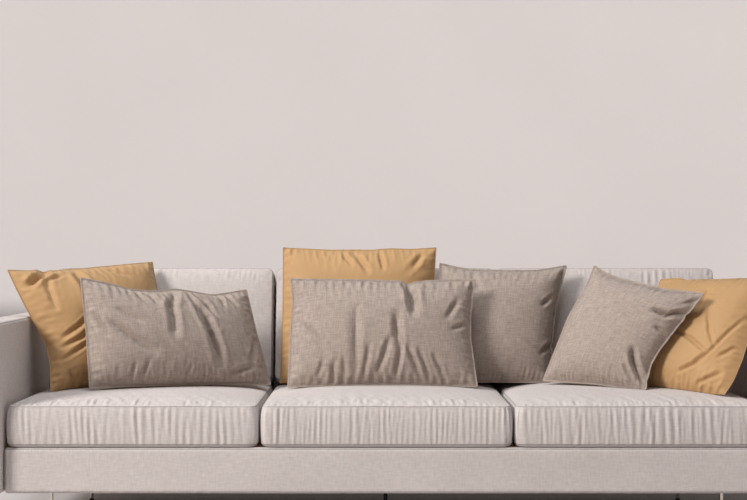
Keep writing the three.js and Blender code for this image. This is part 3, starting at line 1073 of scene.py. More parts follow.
def clear_of(points, things, gap=0.001, deepest=0.08):
    """Move points out of the things. Returns the points and how many were moved."""
    moved = 0
    points = points.copy()
    for thing in things:
        tree, low, high = skin_of(thing)
        near = np.flatnonzero(((points > low - gap) & (points < high + gap)).all(1))
        for index in near:
            spot = Vector(points[index])
            place, normal, _, _ = tree.find_nearest(spot, deepest)
            if place is not None and (spot - place).dot(normal) < gap * 0.9:
                points[index] = place + normal * gap
                moved += 1
    return points, moved


# %% [markdown]
# ## Seat and back cushions
# Both kinds are foam blocks in sewn covers: a crowned panel, a boxing strip round it, and a
# plain underside. The cover is cut four to five per cent larger than its seams, so the
# boxing gathers into upright puckers and the panel creases softly beside the seam. Only the
# middle of the panel is cut almost to size, or it would balloon. The puckers are started as
# small waves, because cloth that starts smooth takes far longer to find its folds.
#
# The recipe needs these measures. corner_radius rounds the corners of the plan, and widen
# rounds them more at the seams than half way up. inset draws the top seam in, and bulge
# pushes the boxing out. cells are the grid's steps along, across and up. fullness is how
# much larger the cover is cut, and middle_fullness the same for the panel's middle. pucker,
# panel_pucker and ripple are the heights of the boxing's folds, of the panel's folds at the
# seam, and of the broad soft folds on it.

# %% Boxed cushion pattern
CROWN_AT_START = 0.25
CROWN_SQUARENESS = 3
BESIDE_SEAM = 0.004
TUCKED_UNDER = 0.005
EASE_TO_MIDDLE = 0.07
NEXT_SIDE = 3.0


def boxed_cushion(size, corner_radius, widen, inset, crown, bulge, cells, low_seam, fullness,
                  middle_fullness, pucker, panel_pucker, ripple, seed):
    """The flat pattern and start shape of a cushion whose panel faces +z of its own axes."""
    width, length, thick = size
    near = (BESIDE_SEAM, 0.010)
    xs = grid_lines(-width / 2, width / 2, cells[0], near)
    ys = grid_lines(-length / 2, length / 2, cells[1], near)
    upright = np.linspace(low_seam + BESIDE_SEAM, thick - BESIDE_SEAM,
                          max(3, round(thick / cells[2])))
    zs = np.array([0.0, low_seam, *upright, thick])
    flat, faces, sides, _ = box_skin(xs, ys, zs)
    skin = [(face, side) for face, side in zip(faces, sides) if side != (2, 0)]
    used = sorted({index for face, _ in skin for index in face})
    renumber = {old: new for new, old in enumerate(used)}
    flat = flat[used]
    faces = [[renumber[index] for index in face] for face, _ in skin]
    sides = [side for _, side in skin]

    top = flat[:, 2] > thick - 1e-6
    edge_x = width / 2 - np.abs(flat[:, 0])
    edge_y = length / 2 - np.abs(flat[:, 1])
    to_edge = np.minimum(edge_x, edge_y)
    top_ring = top & (to_edge < 1e-6)
    low_rings = flat[:, 2] < low_seam + 1e-6
    seam_distance = np.where(top, to_edge, np.minimum(thick - flat[:, 2],
                                                      np.abs(flat[:, 2] - low_seam)))

    ends = np.abs(2 * flat[:, 2] / thick - 1) ** 3
    radius = (corner_radius * (1 + widen * ends))[:, None]
    half = np.array([width / 2, length / 2]) - radius
    inner = np.clip(flat[:, :2], -half, half)
    out = flat[:, :2] - inner
    reach = np.maximum(np.linalg.norm(out, axis=1), 1e-9)
    start = flat.copy()
    start[:, :2] = inner + out * (np.abs(out).max(1) / reach)[:, None]
    across = np.minimum(np.abs(flat[:, 0]) / (width / 2), 1)
    along = np.minimum(np.abs(flat[:, 1]) / (length / 2), 1)
    dome = ((1 - across ** CROWN_SQUARENESS) * (1 - along ** CROWN_SQUARENESS)) ** 0.7
    start[:, 2] += np.where(top, CROWN_AT_START * crown * dome, 0.0)
    height = flat[:, 2] / thick
    side_bulge = np.where(top, 0.0, bulge * 4 * height * (1 - height))
    tuck = TUCKED_UNDER * np.clip(1 - flat[:, 2] / low_seam, 0, 1)
    drawn = inset * np.where(top, np.clip(1 - to_edge / corner_radius, 0, 1),
                             np.clip((height - 0.65) / 0.35, 0, 1) ** 2)
    start[:, :2] += out / reach[:, None] * (side_bulge - tuck - drawn)[:, None]
    wavy = np.stack([rumple(flat, seed + axis, 0.22) for axis in range(3)], 1)
    start += 0.0003 * wavy * (~low_rings)[:, None]
    free = ~(low_rings | top_ring)
    on_ends = (edge_y < 1e-6) & ~top
    outward = np.stack([np.where(on_ends, 0.0, np.sign(flat[:, 0])),
                        np.where(on_ends, np.sign(flat[:, 1]), 0.0), np.zeros(len(flat))], 1)
    run = np.where(on_ends, flat[:, 0] * np.sign(flat[:, 1]), flat[:, 1] * np.sign(flat[:, 0]))
    fold = gathers(run + 2.0 * outward[:, 0], thick - flat[:, 2], seed + 5, apart=0.023,
                   rises=0.008, fades=0.30, lean=0.12)
    start += outward * (pucker * fold * (~top & free))[:, None]
    for way, (run, away) in enumerate(((flat[:, 0], edge_y), (flat[:, 1], edge_x))):
        side = np.sign(flat[:, 1 - way])
        fold = gathers(run + NEXT_SIDE * side, away, seed + 8 + way, apart=0.032, rises=0.010,
                       fades=0.075, lean=0.5)
        start[:, 2] += panel_pucker * (1.0, 0.5)[way] * fold * (top & free)
    ripples = np.zeros(len(flat))
    for way, (run, away) in enumerate(((flat[:, 0], edge_y), (flat[:, 1], edge_x))):
        side = np.sign(flat[:, 1 - way])
        fold = gathers(run + NEXT_SIDE * side, away, seed + 30 + way, apart=0.046,
                       rises=0.018, fades=0.085, lean=0.8)
        ripples += ripple * (1.0, 0.4)[way] * fold * (top & free)
    random = np.random.default_rng(seed)
    start += random.normal(0, 0.0002, start.shape) * free[:, None]

    pattern = flat.copy()
    pattern[:, :2] *= 1 + fullness
    ease = np.clip(to_edge / EASE_TO_MIDDLE, 0, 1)
    ease = ease * ease * (3 - 2 * ease)
    tighter = np.where(top, ease, 0.0)
    return {"flat": flat, "faces": faces, "sides": sides, "start": start, "pattern": pattern,
            "held": np.where(top_ring | low_rings, 1.0, 0.0), "tighter": tighter, "top": top,
            "seam_distance": seam_distance, "size": size,
            "shrink": 1 - (1 + middle_fullness) / (1 + fullness), "crown": crown,
            "bulge": bulge, "dome": np.where(top, dome, 0.0), "ripples": ripples}


def close_underside(cushion, points):
    """Close the lowest ring with rings of fewer and fewer points, as one flat panel."""
    flat, faces = cushion["flat"], list(cushion["faces"])
    lowest = np.flatnonzero(flat[:, 2] < 1e-9)
    angle = {index: math.atan2(flat[index, 1] * cushion["size"][0],
                               flat[index, 0] * cushion["size"][1]) for index in lowest}
    ring = sorted(lowest.tolist(), key=angle.get)
    centre, flat_centre = points[ring].mean(0), flat[ring].mean(0)
    all_points, all_flat = list(points), list(flat)
    for share, thin in ((0.985, 1), (0.95, 1), (0.88, 2), (0.74, 2), (0.5, 2), (0.25, 2)):
        picks = list(range(0, len(ring), thin))
        inner = []
        for pick in picks:
            source = ring[pick]
            inner.append(len(all_points))
            all_points.append(centre + (all_points[source] - centre) * share)
            all_flat.append(flat_centre + (all_flat[source] - flat_centre) * share)
        for number, pick in enumerate(picks):
            after = picks[number + 1] if number + 1 < len(picks) else len(ring)
            outer = [ring[step % len(ring)] for step in range(pick, after + 1)]
            faces.append(outer[::-1] + [inner[number], inner[(number + 1) % len(inner)]])
        ring = inner
    faces.append(ring[::-1])
    sides = cushion["sides"] + [(2, 0)] * (len(faces) - len(cushion["sides"]))
    added = len(all_points) - len(points)
    distance = np.concatenate([cushion["seam_distance"], np.full(added, 0.05)])
    return np.array(all_points), np.array(all_flat), faces, sides, distance


def placed(points, origin, axes):
    """From a cushion's own axes to the sofa's."""
    return np.asarray(origin) + points @ np.asarray(axes)


# %% [markdown]
# ## Six cushions from the same recipe
# A seat cushion is thick, soft and sat on, so its cover is roomy and its folds are deep. A
# back cushion is firmer and leans with the back, so it is cut flat and then turned. Their
# widths and places are read from their solids, and so is the seats' crown.

# %% Cut the six cushions
SEAT_THICKNESS = 0.127
BACK_HEIGHT = 0.410
BACK_THICKNESS = 0.165
BACK_CROWN = 0.024
LEAN = math.radians(13)
SEAT_CLEARANCE = 0.004
BACK_CLEARANCE = 0.006
up_back = np.array([0, math.sin(LEAN), math.cos(LEAN)])
out_front = np.array([0, -math.cos(LEAN), math.sin(LEAN)])
cushions = []
for number, place in enumerate(("left", "centre", "right")):
    low, high = (np.array(corner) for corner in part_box("seat_cushion_" + place))
    crown = high[2] - low[2] - SEAT_THICKNESS
    size = (high[0] - low[0] - SEAT_CLEARANCE, high[1] - low[1] - SEAT_CLEARANCE,
            SEAT_THICKNESS)
    cut = boxed_cushion(size, corner_radius=0.022, widen=0.7, inset=0.004, crown=crown,
                        bulge=0.003, cells=(0.0062, 0.009, 0.010), low_seam=0.008,
                        fullness=0.050, middle_fullness=0.013, pucker=0.0027,
                        panel_pucker=0.0050, ripple=0.0026, seed=100 + 10 * number)
    cut["node"] = "seat_cushion_" + place
    cut["axes"] = np.eye(3)
    cut["origin"] = np.array([(low[0] + high[0]) / 2, (low[1] + high[1]) / 2, low[2]])
    cushions.append(cut)
for number, place in enumerate(("left", "centre", "right")):
    node = "back_cushion_" + place
    solid = np.array([point.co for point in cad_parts[node].data.vertices])
    axes = np.array([[1, 0, 0], up_back, out_front])
    reach_up, reach_out = (solid @ up_back).max(), (solid @ out_front).max()
    size = (np.ptp(solid[:, 0]) - BACK_CLEARANCE, BACK_HEIGHT, BACK_THICKNESS)
    cut = boxed_cushion(size, corner_radius=0.020, widen=0.0, inset=0.001, crown=BACK_CROWN,
                        bulge=0.003, cells=(0.0062, 0.0075, 0.012), low_seam=0.008,
                        fullness=0.045, middle_fullness=0.014, pucker=0.0017,
                        panel_pucker=0.0036, ripple=0.0008, seed=200 + 10 * number)
    middle_up = reach_up - BACK_CLEARANCE / 2 - BACK_HEIGHT / 2
    rear_out = reach_out - BACK_CROWN - BACK_THICKNESS
    cut["node"] = node
    cut["axes"] = axes
    cut["origin"] = (np.array([(solid[:, 0].min() + solid[:, 0].max()) / 2, 0, 0])
                     + middle_up * up_back + rear_out * out_front)
    cushions.append(cut)
print("cushion patterns:", [(cut["node"], len(cut["flat"])) for cut in cushions])

# %% [markdown]
# ## Throw pillows
# A throw pillow is two flat panels sewn edge to edge and stuffed. Stuffing draws the edges
# in and leaves the corners behind as points. Each pillow here starts as a thin lens between
# four corners, which are read from its solid, and its panels are cut larger than that, so
# the cloth has to gather along the seams. A coarse grid finds the shape, and a fine one
# then adds the small folds. A fine grid alone would take ten times as long to fill out.
# The bottom corners sink a few millimetres to the seat, and the ochre pillow on the left
# reaches further into its corner of the sofa.

# %% Two panels sewn along their edges
def panel_pair(columns, rows):
    """Unit (u, v, side) of each point: side 1 front, -1 back, 0 on the shared seam."""
    numbers, spots, faces = {}, [], []

    def number(side, i, j):
        on_seam = i in (0, columns) or j in (0, rows)
        key = (0 if on_seam else side, i, j)
        if key not in numbers:
            numbers[key] = len(spots)
            spots.append((i / columns, j / rows, key[0]))
        return numbers[key]

    for side in (1, -1):
        for j in range(rows):
            for i in range(columns):
                face = [number(side, i, j), number(side, i + 1, j),
                        number(side, i + 1, j + 1), number(side, i, j + 1)]
                faces.append(face if side == 1 else face[::-1])
    return np.array(spots), faces, numbers


SINK = (0.0, 0.0, -0.006)
LEVEL = (0.0, 0.0, 0.0)
CORNER_BAND = 0.012
MOVED_CORNERS = {
    "pillow_ochre_left": ((-0.018, 0.015, -0.006), (0.0, 0.045, -0.006), (0.0, 0.040, 0.0),
                          (-0.006, 0.0, 0.0)),
}


def node_corners(node):
    """The four corners of a pillow's solid: bottom left, bottom right, top right, top left."""
    points = np.array([point.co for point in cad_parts[node].data.vertices])
    low, high = points.min(0), points.max(0)
    x = (points[:, 0] - low[0]) / (high[0] - low[0])
    z = (points[:, 2] - low[2]) / (high[2] - low[2])
    found = []
    for side, top in ((-1, -1), (1, -1), (1, 1), (-1, 1)):
        score = side * x + top * z
        found.append(points[score > score.max() - CORNER_BAND].mean(0))
    return np.array(found) + np.array(MOVED_CORNERS.get(node, (SINK, SINK, LEVEL, LEVEL)))


def panel_grid(numbers, columns, rows, points, side):
    """One panel's points as a table of rows and columns."""
    grid = np.zeros((rows + 1, columns + 1, 3))
    for j in range(rows + 1):
        for i in range(columns + 1):
            on_seam = i in (0, columns) or j in (0, rows)
            grid[j, i] = points[numbers[(0 if on_seam else side, i, j)]]
    return grid


def resample(grid, u, v):
    """Read a coarse grid at finer places with a smooth curve through its points."""
    rows, columns = grid.shape[0] - 1, grid.shape[1] - 1
    x, y = u * columns, v * rows
    i = np.clip(np.floor(x).astype(int), 0, columns - 1)
    j = np.clip(np.floor(y).astype(int), 0, rows - 1)

    def curve(p, t):
        t = t[:, None]
        return 0.5 * (2 * p[1] + (p[2] - p[0]) * t
                      + (2 * p[0] - 5 * p[1] + 4 * p[2] - p[3]) * t * t
                      + (3 * p[1] - p[0] - 3 * p[2] + p[3]) * t ** 3)

    def read(column, row):
        return grid[np.clip(row, 0, rows), np.clip(column, 0, columns)]

    lines = [curve([read(i + a, j + b) for a in (-1, 0, 1, 2)], x - i) for b in (-1, 0, 1, 2)]
    return curve(lines, y - j)


# %% [markdown]
# ## Creases
# A crease is a line where the cloth is folded inward. It is given on the flat panel, from 0
# to 1 across and up, with its depth and width. It is pressed into the fine grid deeper than
# it will be in the end, with a low ridge on both sides, and its floor is pinned. The filling
# then rounds the cloth beside it. Creases that are only drawn in a bump would vanish from
# the side, and creases left to chance would lie in the wrong places.

# %% Press creases into a panel
PRESSED_DEEPER = 1.9
RIDGE = 0.22
RIDGE_PLACE = 2.2
RIDGE_WIDTH = 0.9
VALLEY_SHARPNESS = 1.3
CREASE_HOLD = 0.98


def line_reach(u, v, line, size):
    """Each point's distance from a line on the panel in metres, and how far along it is."""
    line = np.array(line) * size
    spot = np.stack([u * size[0], v * size[1]], 1)
    lengths = np.linalg.norm(np.diff(line, axis=0), axis=1)
    total = lengths.sum()
    best = np.full(len(spot), 9.0)
    travel = np.zeros(len(spot))
    gone = 0.0
    for start, end, length in zip(line, line[1:], lengths):
        t = np.clip((spot - start) @ (end - start) / length ** 2, 0, 1)
        distance = np.linalg.norm(spot - (start + t[:, None] * (end - start)), axis=1)
        closer = distance < best
        best = np.where(closer, distance, best)
        travel = np.where(closer, (gone + t * length) / total, travel)
        gone += length
    return best, travel


def panel_normals(grid):
    """The outward direction at each point of a panel's table."""
    along = np.gradient(grid, axis=1)
    up = np.gradient(grid, axis=0)
    normal = np.cross(along, up)
    return normal / np.maximum(np.linalg.norm(normal, axis=2), 1e-12)[:, :, None]


def press_creases(spots, points, front_normals, creases, size, cell):
    """Press the front panel in along each crease. Returns the points and how firmly held."""
    held = np.zeros(len(points))
    u, v, side = spots.T
    front = side >= 0
    for line, depth, width in creases:
        distance, travel = line_reach(u, v, line, size)
        taper = np.sin(np.pi * np.clip(travel * 0.94 + 0.03, 0, 1)) ** 0.5
        valley = np.exp(-(distance / width) ** VALLEY_SHARPNESS)
        ridges = RIDGE * np.exp(-((distance - RIDGE_PLACE * width) / (RIDGE_WIDTH * width)) ** 2)
        push = PRESSED_DEEPER * depth * taper * (valley - ridges) * front
        points = points - front_normals * push[:, None]
        core = (distance < cell * 0.62) & front & (taper > 0.25)
        held = np.maximum(held, np.where(core, CREASE_HOLD, 0.0))
    return points, held


# %% [markdown]
# Each pillow has creases of its own. Long ones run where it was pressed or picked up, and
# short ones leave the seams and corners. A row is the crease's line, its depth and its
# width, both in metres.

# %% The creases of each pillow
FOLDS = {
    "ochre_left": [
        (((0.23, 0.985), (0.14, 0.92), (0.06, 0.84)), 0.016, 0.010),
        (((0.4, 0.95), (0.41, 0.75), (0.41, 0.57)), 0.016, 0.014),
        (((0.2, 0.94), (0.16, 0.8), (0.14, 0.62)), 0.006, 0.009),
        (((0.1, 0.38), (0.25, 0.46), (0.39, 0.56)), 0.008, 0.008),
        (((0.08, 0.31), (0.23, 0.36), (0.39, 0.46)), 0.008, 0.008),
        (((0.06, 0.21), (0.19, 0.27), (0.32, 0.35)), 0.006, 0.008),
        (((0.12, 0.11), (0.17, 0.01)), 0.007, 0.008),
        (((0.6, 0.97), (0.75, 0.86)), 0.005, 0.009),
        (((0.18, 0.88), (0.31, 0.93)), 0.007, 0.008),
    ],
    "ochre_centre": [
        (((0.39, 0.97), (0.45, 0.87)), 0.006, 0.007),
        (((0.47, 0.97), (0.56, 0.81)), 0.009, 0.009),
        (((0.63, 0.97), (0.66, 0.83)), 0.007, 0.007),
        (((0.92, 0.96), (0.85, 0.84)), 0.006, 0.01),
    ],
    "lumbar_left": [
        (((0.52, 0.94), (0.47, 0.78), (0.46, 0.46)), 0.015, 0.013),
        (((0.61, 0.91), (0.64, 0.57)), 0.008, 0.009),
        (((0.65, 0.77), (0.68, 0.47), (0.71, 0.16)), 0.018, 0.014),
        (((0.65, 0.93), (0.69, 0.83), (0.72, 0.68)), 0.009, 0.008),
        (((0.97, 0.44), (0.9, 0.19)), 0.008, 0.009),
        (((0.77, 0.06), (0.91, 0.15)), 0.007, 0.008),
        (((0.3, 0.94), (0.32, 0.82)), 0.005, 0.007),
        (((0.46, 0.92), (0.48, 0.78)), 0.006, 0.006),
        (((0.85, 0.97), (0.89, 0.83)), 0.006, 0.007),
        (((0.2, 0.02), (0.23, 0.17)), 0.005, 0.006),
        (((0.26, 0.02), (0.3, 0.19)), 0.006, 0.006),
        (((0.51, 0.01), (0.53, 0.13)), 0.005, 0.006),
        (((0.12, 0.56), (0.23, 0.4), (0.34, 0.27)), 0.010, 0.013),
        (((0.03, 0.65), (0.09, 0.45)), 0.007, 0.009),
        (((0.16, 0.72), (0.27, 0.58)), 0.006, 0.010),
        (((0.36, 0.95), (0.4, 0.8)), 0.007, 0.008),
        (((0.8, 0.99), (0.81, 0.81)), 0.005, 0.006),
    ],
    "lumbar_centre": [
        (((0.64, 0.98), (0.66, 0.84), (0.68, 0.66)), 0.020, 0.014),
        (((0.58, 0.63), (0.59, 0.32)), 0.012, 0.012),
        (((0.35, 0.69), (0.36, 0.11)), 0.008, 0.013),
        (((0.47, 0.06), (0.55, 0.41)), 0.008, 0.009),
        (((0.57, 0.05), (0.61, 0.37)), 0.009, 0.008),
        (((0.7, 0.04), (0.64, 0.32)), 0.009, 0.008),
        (((0.75, 0.05), (0.7, 0.29)), 0.008, 0.007),
        (((0.83, 0.06), (0.78, 0.24)), 0.007, 0.007),
        (((0.92, 0.77), (0.87, 0.61)), 0.007, 0.009),
        (((0.97, 0.55), (0.9, 0.5)), 0.006, 0.007),
        (((0.15, 0.04), (0.18, 0.2)), 0.006, 0.007),
        (((0.23, 0.04), (0.24, 0.19)), 0.006, 0.007),
        (((0.3, 0.04), (0.29, 0.22)), 0.005, 0.007),
        (((0.04, 0.57), (0.13, 0.43), (0.2, 0.24)), 0.006, 0.01),
        (((0.4, 0.05), (0.43, 0.32)), 0.006, 0.008),
    ],
    "taupe_back": [
        (((0.95, 0.72), (0.88, 0.64)), 0.009, 0.008),
        (((1, 0.31), (0.91, 0.22)), 0.009, 0.008),
        (((0.25, 0.94), (0.31, 0.79)), 0.005, 0.009),
    ],
    "taupe_right": [
        (((0.99, 0.78), (0.91, 0.71), (0.78, 0.74)), 0.017, 0.010),
        (((0.98, 0.55), (0.88, 0.58)), 0.008, 0.008),
        (((0.82, 0.33), (0.88, 0.22), (0.98, 0.07)), 0.017, 0.011),
        (((0.8, 0.17), (0.9, 0.02)), 0.007, 0.007),
        (((0.99, 0.92), (0.94, 0.85)), 0.005, 0.008),
    ],
    "ochre_right": [
        (((0.48, 0.44), (0.66, 0.36), (0.8, 0.27)), 0.007, 0.007),
        (((0.8, 0.27), (0.73, 0.17), (0.64, 0.11)), 0.008, 0.007),
        (((0.7, 0.62), (0.77, 0.44), (0.84, 0.32)), 0.005, 0.006),
        (((0.98, 0.62), (0.88, 0.42), (0.76, 0.16)), 0.006, 0.006),
        (((0.6, 0.82), (0.62, 0.6)), 0.006, 0.012),
        (((0.93, 0.14), (0.8, 0.05)), 0.007, 0.007),
        (((0.97, 0.36), (0.88, 0.25)), 0.006, 0.006),
        (((0.01, 0.95), (0.2, 0.97), (0.34, 1)), 0.01, 0.009),
    ],
}
print("creases:", {kind: len(creases) for kind, creases in FOLDS.items()})

# %% [markdown]
# Stuffing and handling draw each edge in by its own amount. An edge is a row of (share of
# the way, metres drawn in), and the edges are bottom, right, top and left, which run to the
# right or upwards. A minus sign lets an edge bulge out.

# %% How the edges of each pillow are drawn in
STRAIGHT = ((0, 0), (0.5, 0.004), (1, 0))
EDGES = {
    "ochre_left": (STRAIGHT, STRAIGHT,
                   ((0, 0), (0.08, 0.004), (0.24, 0.013), (0.5, 0.010), (0.85, 0.002), (1, 0)),
                   ((0, 0), (0.08, 0.010), (0.2, 0.030), (0.34, 0.042), (0.5, 0.033),
                    (0.7, 0.015), (0.9, 0.004), (1, 0))),
    "ochre_centre": (STRAIGHT, ((0, 0), (0.6, 0.012), (1, 0)),
                     ((0, 0), (0.3, 0.009), (0.6, 0.009), (0.7, 0.003), (0.85, 0.006), (1, 0)),
                     STRAIGHT),
    "lumbar_left": (((0, 0), (0.2, 0.004), (0.8, 0.006), (1, 0)), STRAIGHT,
                    ((0, 0), (0.12, 0.009), (0.3, 0.030), (0.46, 0.028), (0.57, 0.015),
                     (0.66, 0.021), (0.77, 0.029), (0.87, 0.018), (0.95, 0.006), (1, 0)),
                    STRAIGHT),
    "lumbar_centre": (((0, 0), (0.5, 0.008), (1, 0)),
                      ((0, 0), (0.2, 0.009), (0.45, 0.020), (0.65, 0.018), (0.85, 0.008), (1, 0)),
                      ((0, 0), (0.3, 0.003), (0.58, 0.006), (0.63, 0.015), (0.68, 0.013),
                       (0.73, 0.006), (1, 0)),
                      ((0, 0), (0.5, 0.004), (0.8, 0.009), (1, 0))),
    "taupe_back": (STRAIGHT,
                   ((0, 0), (0.3, 0.009), (0.6, 0.016), (0.8, 0.012), (1, 0)),
                   ((0, 0), (0.12, 0.013), (0.26, 0.023), (0.6, 0.023), (0.78, 0.021),
                    (0.89, 0.012), (1, 0)),
                   ((0, 0), (0.5, 0.010), (0.85, 0.008), (1, 0))),
    "taupe_right": (((0, 0), (0.5, 0.006), (1, 0)),
                    ((0, 0), (0.14, 0.021), (0.25, 0.033), (0.4, 0.034), (0.55, 0.026),
                     (0.7, 0.018), (0.85, 0.009), (1, 0)),
                    ((0, 0), (0.08, 0.011), (0.2, 0.020), (0.4, 0.021), (0.6, 0.020),
                     (0.72, 0.018), (0.83, 0.010), (1, 0)),
                    ((0, 0), (0.25, -0.004), (0.55, -0.011), (0.75, 0.000), (0.87, 0.004),
                     (1, 0))),
    "ochre_right": (((0, 0), (0.6, -0.004), (0.85, -0.006), (1, 0)),
                    ((0, 0), (0.1, -0.012), (0.3, -0.014), (0.6, 0.0), (1, 0)),
                    STRAIGHT, STRAIGHT),
}
print("edges:", {kind: [len(edge) for edge in edges] for kind, edges in EDGES.items()})

# %% [markdown]
# The seven pillows differ in cloth, in the size of their panels, in how full they are, and
# in how stiff their cloth is on the coarse grid and on the fine one. The last number is how
# high the gathers along their seams stand. The linen has a flat flange outside its seam,
# and the sateen only a narrow lip.

# %% The seven pillows
COARSE_CELL = 0.018
FINE_CELL = 0.0070
OCHRE = (ochre_sateen, "sateen", 0.003)
LINEN = (taupe_linen, "linen", 0.007)
pillows = []
for seed, (kind, panel, thick, (cloth, slot, flange), bends, gather) in enumerate((
        ("ochre_centre", (0.61, 0.51), 0.150, OCHRE, (0.5, 0.15), 0.0042),
        ("taupe_back", (0.495, 0.455), 0.162, LINEN, (1.0, 0.4), 0.0032),
        ("ochre_left", (0.59, 0.57), 0.185, OCHRE, (0.5, 0.15), 0.0050),
        ("ochre_right", (0.59, 0.57), 0.160, OCHRE, (0.5, 0.15), 0.0050),
        ("lumbar_centre", (0.69, 0.415), 0.155, LINEN, (0.8, 0.3), 0.0060),
        ("lumbar_left", (0.67, 0.415), 0.178, LINEN, (0.8, 0.3), 0.0060),
        ("taupe_right", (0.495, 0.475), 0.155, LINEN, (1.0, 0.4), 0.0032)), start=1):
    pillows.append({"node": "pillow_" + kind, "size": np.array(panel), "thick": thick,
                    "cloth": cloth, "slot": slot, "flange": flange, "coarse_bend": bends[0],
                    "fine_bend": bends[1], "gather": gather, "creases": FOLDS[kind],
                    "edges": EDGES[kind], "seed": seed})
print("pillows:", [plan["node"] for plan in pillows])

# %% [markdown]
# ## Filling the pillows
# The coarse grid starts as a flat patch between the four corners. Its edges are drawn in,
# its middle is opened into a lens, and its edges are pinned firmly but not quite fast, so
# the filling can still tug at them.

# %% Edges and corners of the coarse grid
def drawn_in(share, line):
    """How far an edge is drawn in at each share of its length, as one smooth curve."""
    steps = np.linspace(0, 1, 201)
    depth = np.interp(steps, *zip(*line))
    for _ in range(40):
        depth[1:-1] = (depth[:-2] + 2 * depth[1:-1] + depth[2:]) / 4
    return np.interp(share, steps, depth)


def corner_frame(corners, flange):
    """The pillow's own directions, and its corners moved in by the flange."""
    right = corners[1] + corners[2] - corners[0] - corners[3]
    right /= np.linalg.norm(right)
    up = corners[2] + corners[3] - corners[0] - corners[1]
    up /= np.linalg.norm(up)
    front = np.cross(right, up)
    front /= np.linalg.norm(front)
    moved = corners.copy()
    for index, (side, top) in enumerate(((1, 1), (-1, 1), (-1, -1), (1, -1))):
        moved[index] += flange * (side * right + top * up)
    return moved, front


# %% Fill the coarse pillows
EDGE_HOLD = 0.8
PANEL_GAP = 0.0005
FIRST_UNEVENNESS = 0.0006
PILLOW_PRESSURE = 5.0
COARSE_MASS = 0.03
COARSE_FRAMES = 36
coarse = []
for plan in pillows:
    columns, rows = (int(round(length / COARSE_CELL)) for length in plan["size"])
    spots, faces, numbers = panel_pair(columns, rows)
    plan["coarse"] = (numbers, columns, rows)
    corners, front = corner_frame(node_corners(plan["node"]), plan["flange"])
    u, v, side = spots.T
    low = corners[0] + (corners[1] - corners[0]) * u[:, None]
    high = corners[3] + (corners[2] - corners[3]) * u[:, None]
    rightward = ((corners[1] - corners[0]) * (1 - v)[:, None]
                 + (corners[2] - corners[3]) * v[:, None])
    rightward /= np.linalg.norm(rightward, axis=1)[:, None]
    upward = (high - low) / np.linalg.norm(high - low, axis=1)[:, None]
    points = low + (high - low) * v[:, None]
    bottom, right, top, left = (drawn_in(share, line) for share, line
                                in zip((u, v, u, v), plan["edges"]))
    points += upward * (bottom * (1 - v) ** 2 - top * v ** 2)[:, None]
    points += rightward * (left * (1 - u) ** 2 - right * u ** 2)[:, None]
    lens = ((1 - (2 * u - 1) ** 2) * (1 - (2 * v - 1) ** 2)) ** 0.5
    points += front * (side * lens * plan["thick"] / 2)[:, None]
    random = np.random.default_rng(plan["seed"])
    points += random.normal(0, FIRST_UNEVENNESS, points.shape) * (lens > 0)[:, None]
    flat = np.stack([u * plan["size"][0], v * plan["size"][1], side * PANEL_GAP], 1)
    held = np.where(side == 0, EDGE_HOLD, 0.0)
    for i, j in ((0, 0), (columns, 0), (columns, rows), (0, rows)):
        held[numbers[(0, i, j)]] = 1.0
    coarse.append(hang_cloth(plan["node"] + "_coarse", points, faces, flat, held,
                             pressure=PILLOW_PRESSURE, bending=plan["coarse_bend"],
                             mass=COARSE_MASS))
settled = settle(coarse, COARSE_FRAMES)
print("coarse pillows:", [len(points) for points in settled])

# %% [markdown]
# The coarse pillows are then read at the fine grid's places, set to their thickness, and
# given gathers along their seams and their creases. They settle once more together with the
# cushions' covers, which start from their own patterns.

# %% Fine pillows and the six cushions together
GATHER_SHARES = (1.0, 1.0, 0.4, 0.4)
CUSHION_PRESSURE = 8.0
CUSHION_BENDING = 0.02
CUSHION_MASS = 0.002
FINE_FRAMES = 14
cloths = []
for plan, coarse_points in zip(pillows, settled):
    columns, rows = (int(round(length / FINE_CELL)) for length in plan["size"])
    spots, faces, numbers = panel_pair(columns, rows)
    u, v, side = spots.T
    points = np.zeros((len(spots), 3))
    front_grid = panel_grid(*plan["coarse"], coarse_points, 1)
    back_grid = panel_grid(*plan["coarse"], coarse_points, -1)
    middle, half = (front_grid + back_grid) / 2, (front_grid - back_grid) / 2
    filled = 2 * np.linalg.norm(half, axis=2).max()
    front_grid = middle + half * plan["thick"] / filled
    back_grid = middle - half * plan["thick"] / filled
    print(plan["node"], "filled to", round(filled, 3), "set to", plan["thick"])
    for grid, chosen in ((front_grid, side >= 0), (back_grid, side == -1)):
        points[chosen] = resample(grid, u[chosen], v[chosen])
    normals = resample(panel_normals(front_grid), u, v)
    width, height = plan["size"]
    for way, (run, away) in enumerate(((u * width, v * height), (u * width, (1 - v) * height),
                                       (v * height, u * width), (v * height, (1 - u) * width))):
        fold = gathers(run, away, plan["seed"] * 20 + way, apart=0.026, rises=0.008, fades=0.034)
        points += normals * (plan["gather"] * GATHER_SHARES[way] * fold * side)[:, None]
    points, held = press_creases(spots, points, normals, plan["creases"], plan["size"],
                                 FINE_CELL)
    held = np.maximum(held, np.where(side == 0, EDGE_HOLD, 0.0))
    for i, j in ((0, 0), (columns, 0), (columns, rows), (0, rows)):
        held[numbers[(0, i, j)]] = 1.0
    flat = np.stack([u * plan["size"][0], v * plan["size"][1], side * PANEL_GAP], 1)
    plan["fine"] = (numbers, columns, rows, spots)
    cloths.append(hang_cloth(plan["node"] + "_fine", points, faces, flat, held,
                             pressure=PILLOW_PRESSURE, bending=plan["fine_bend"]))
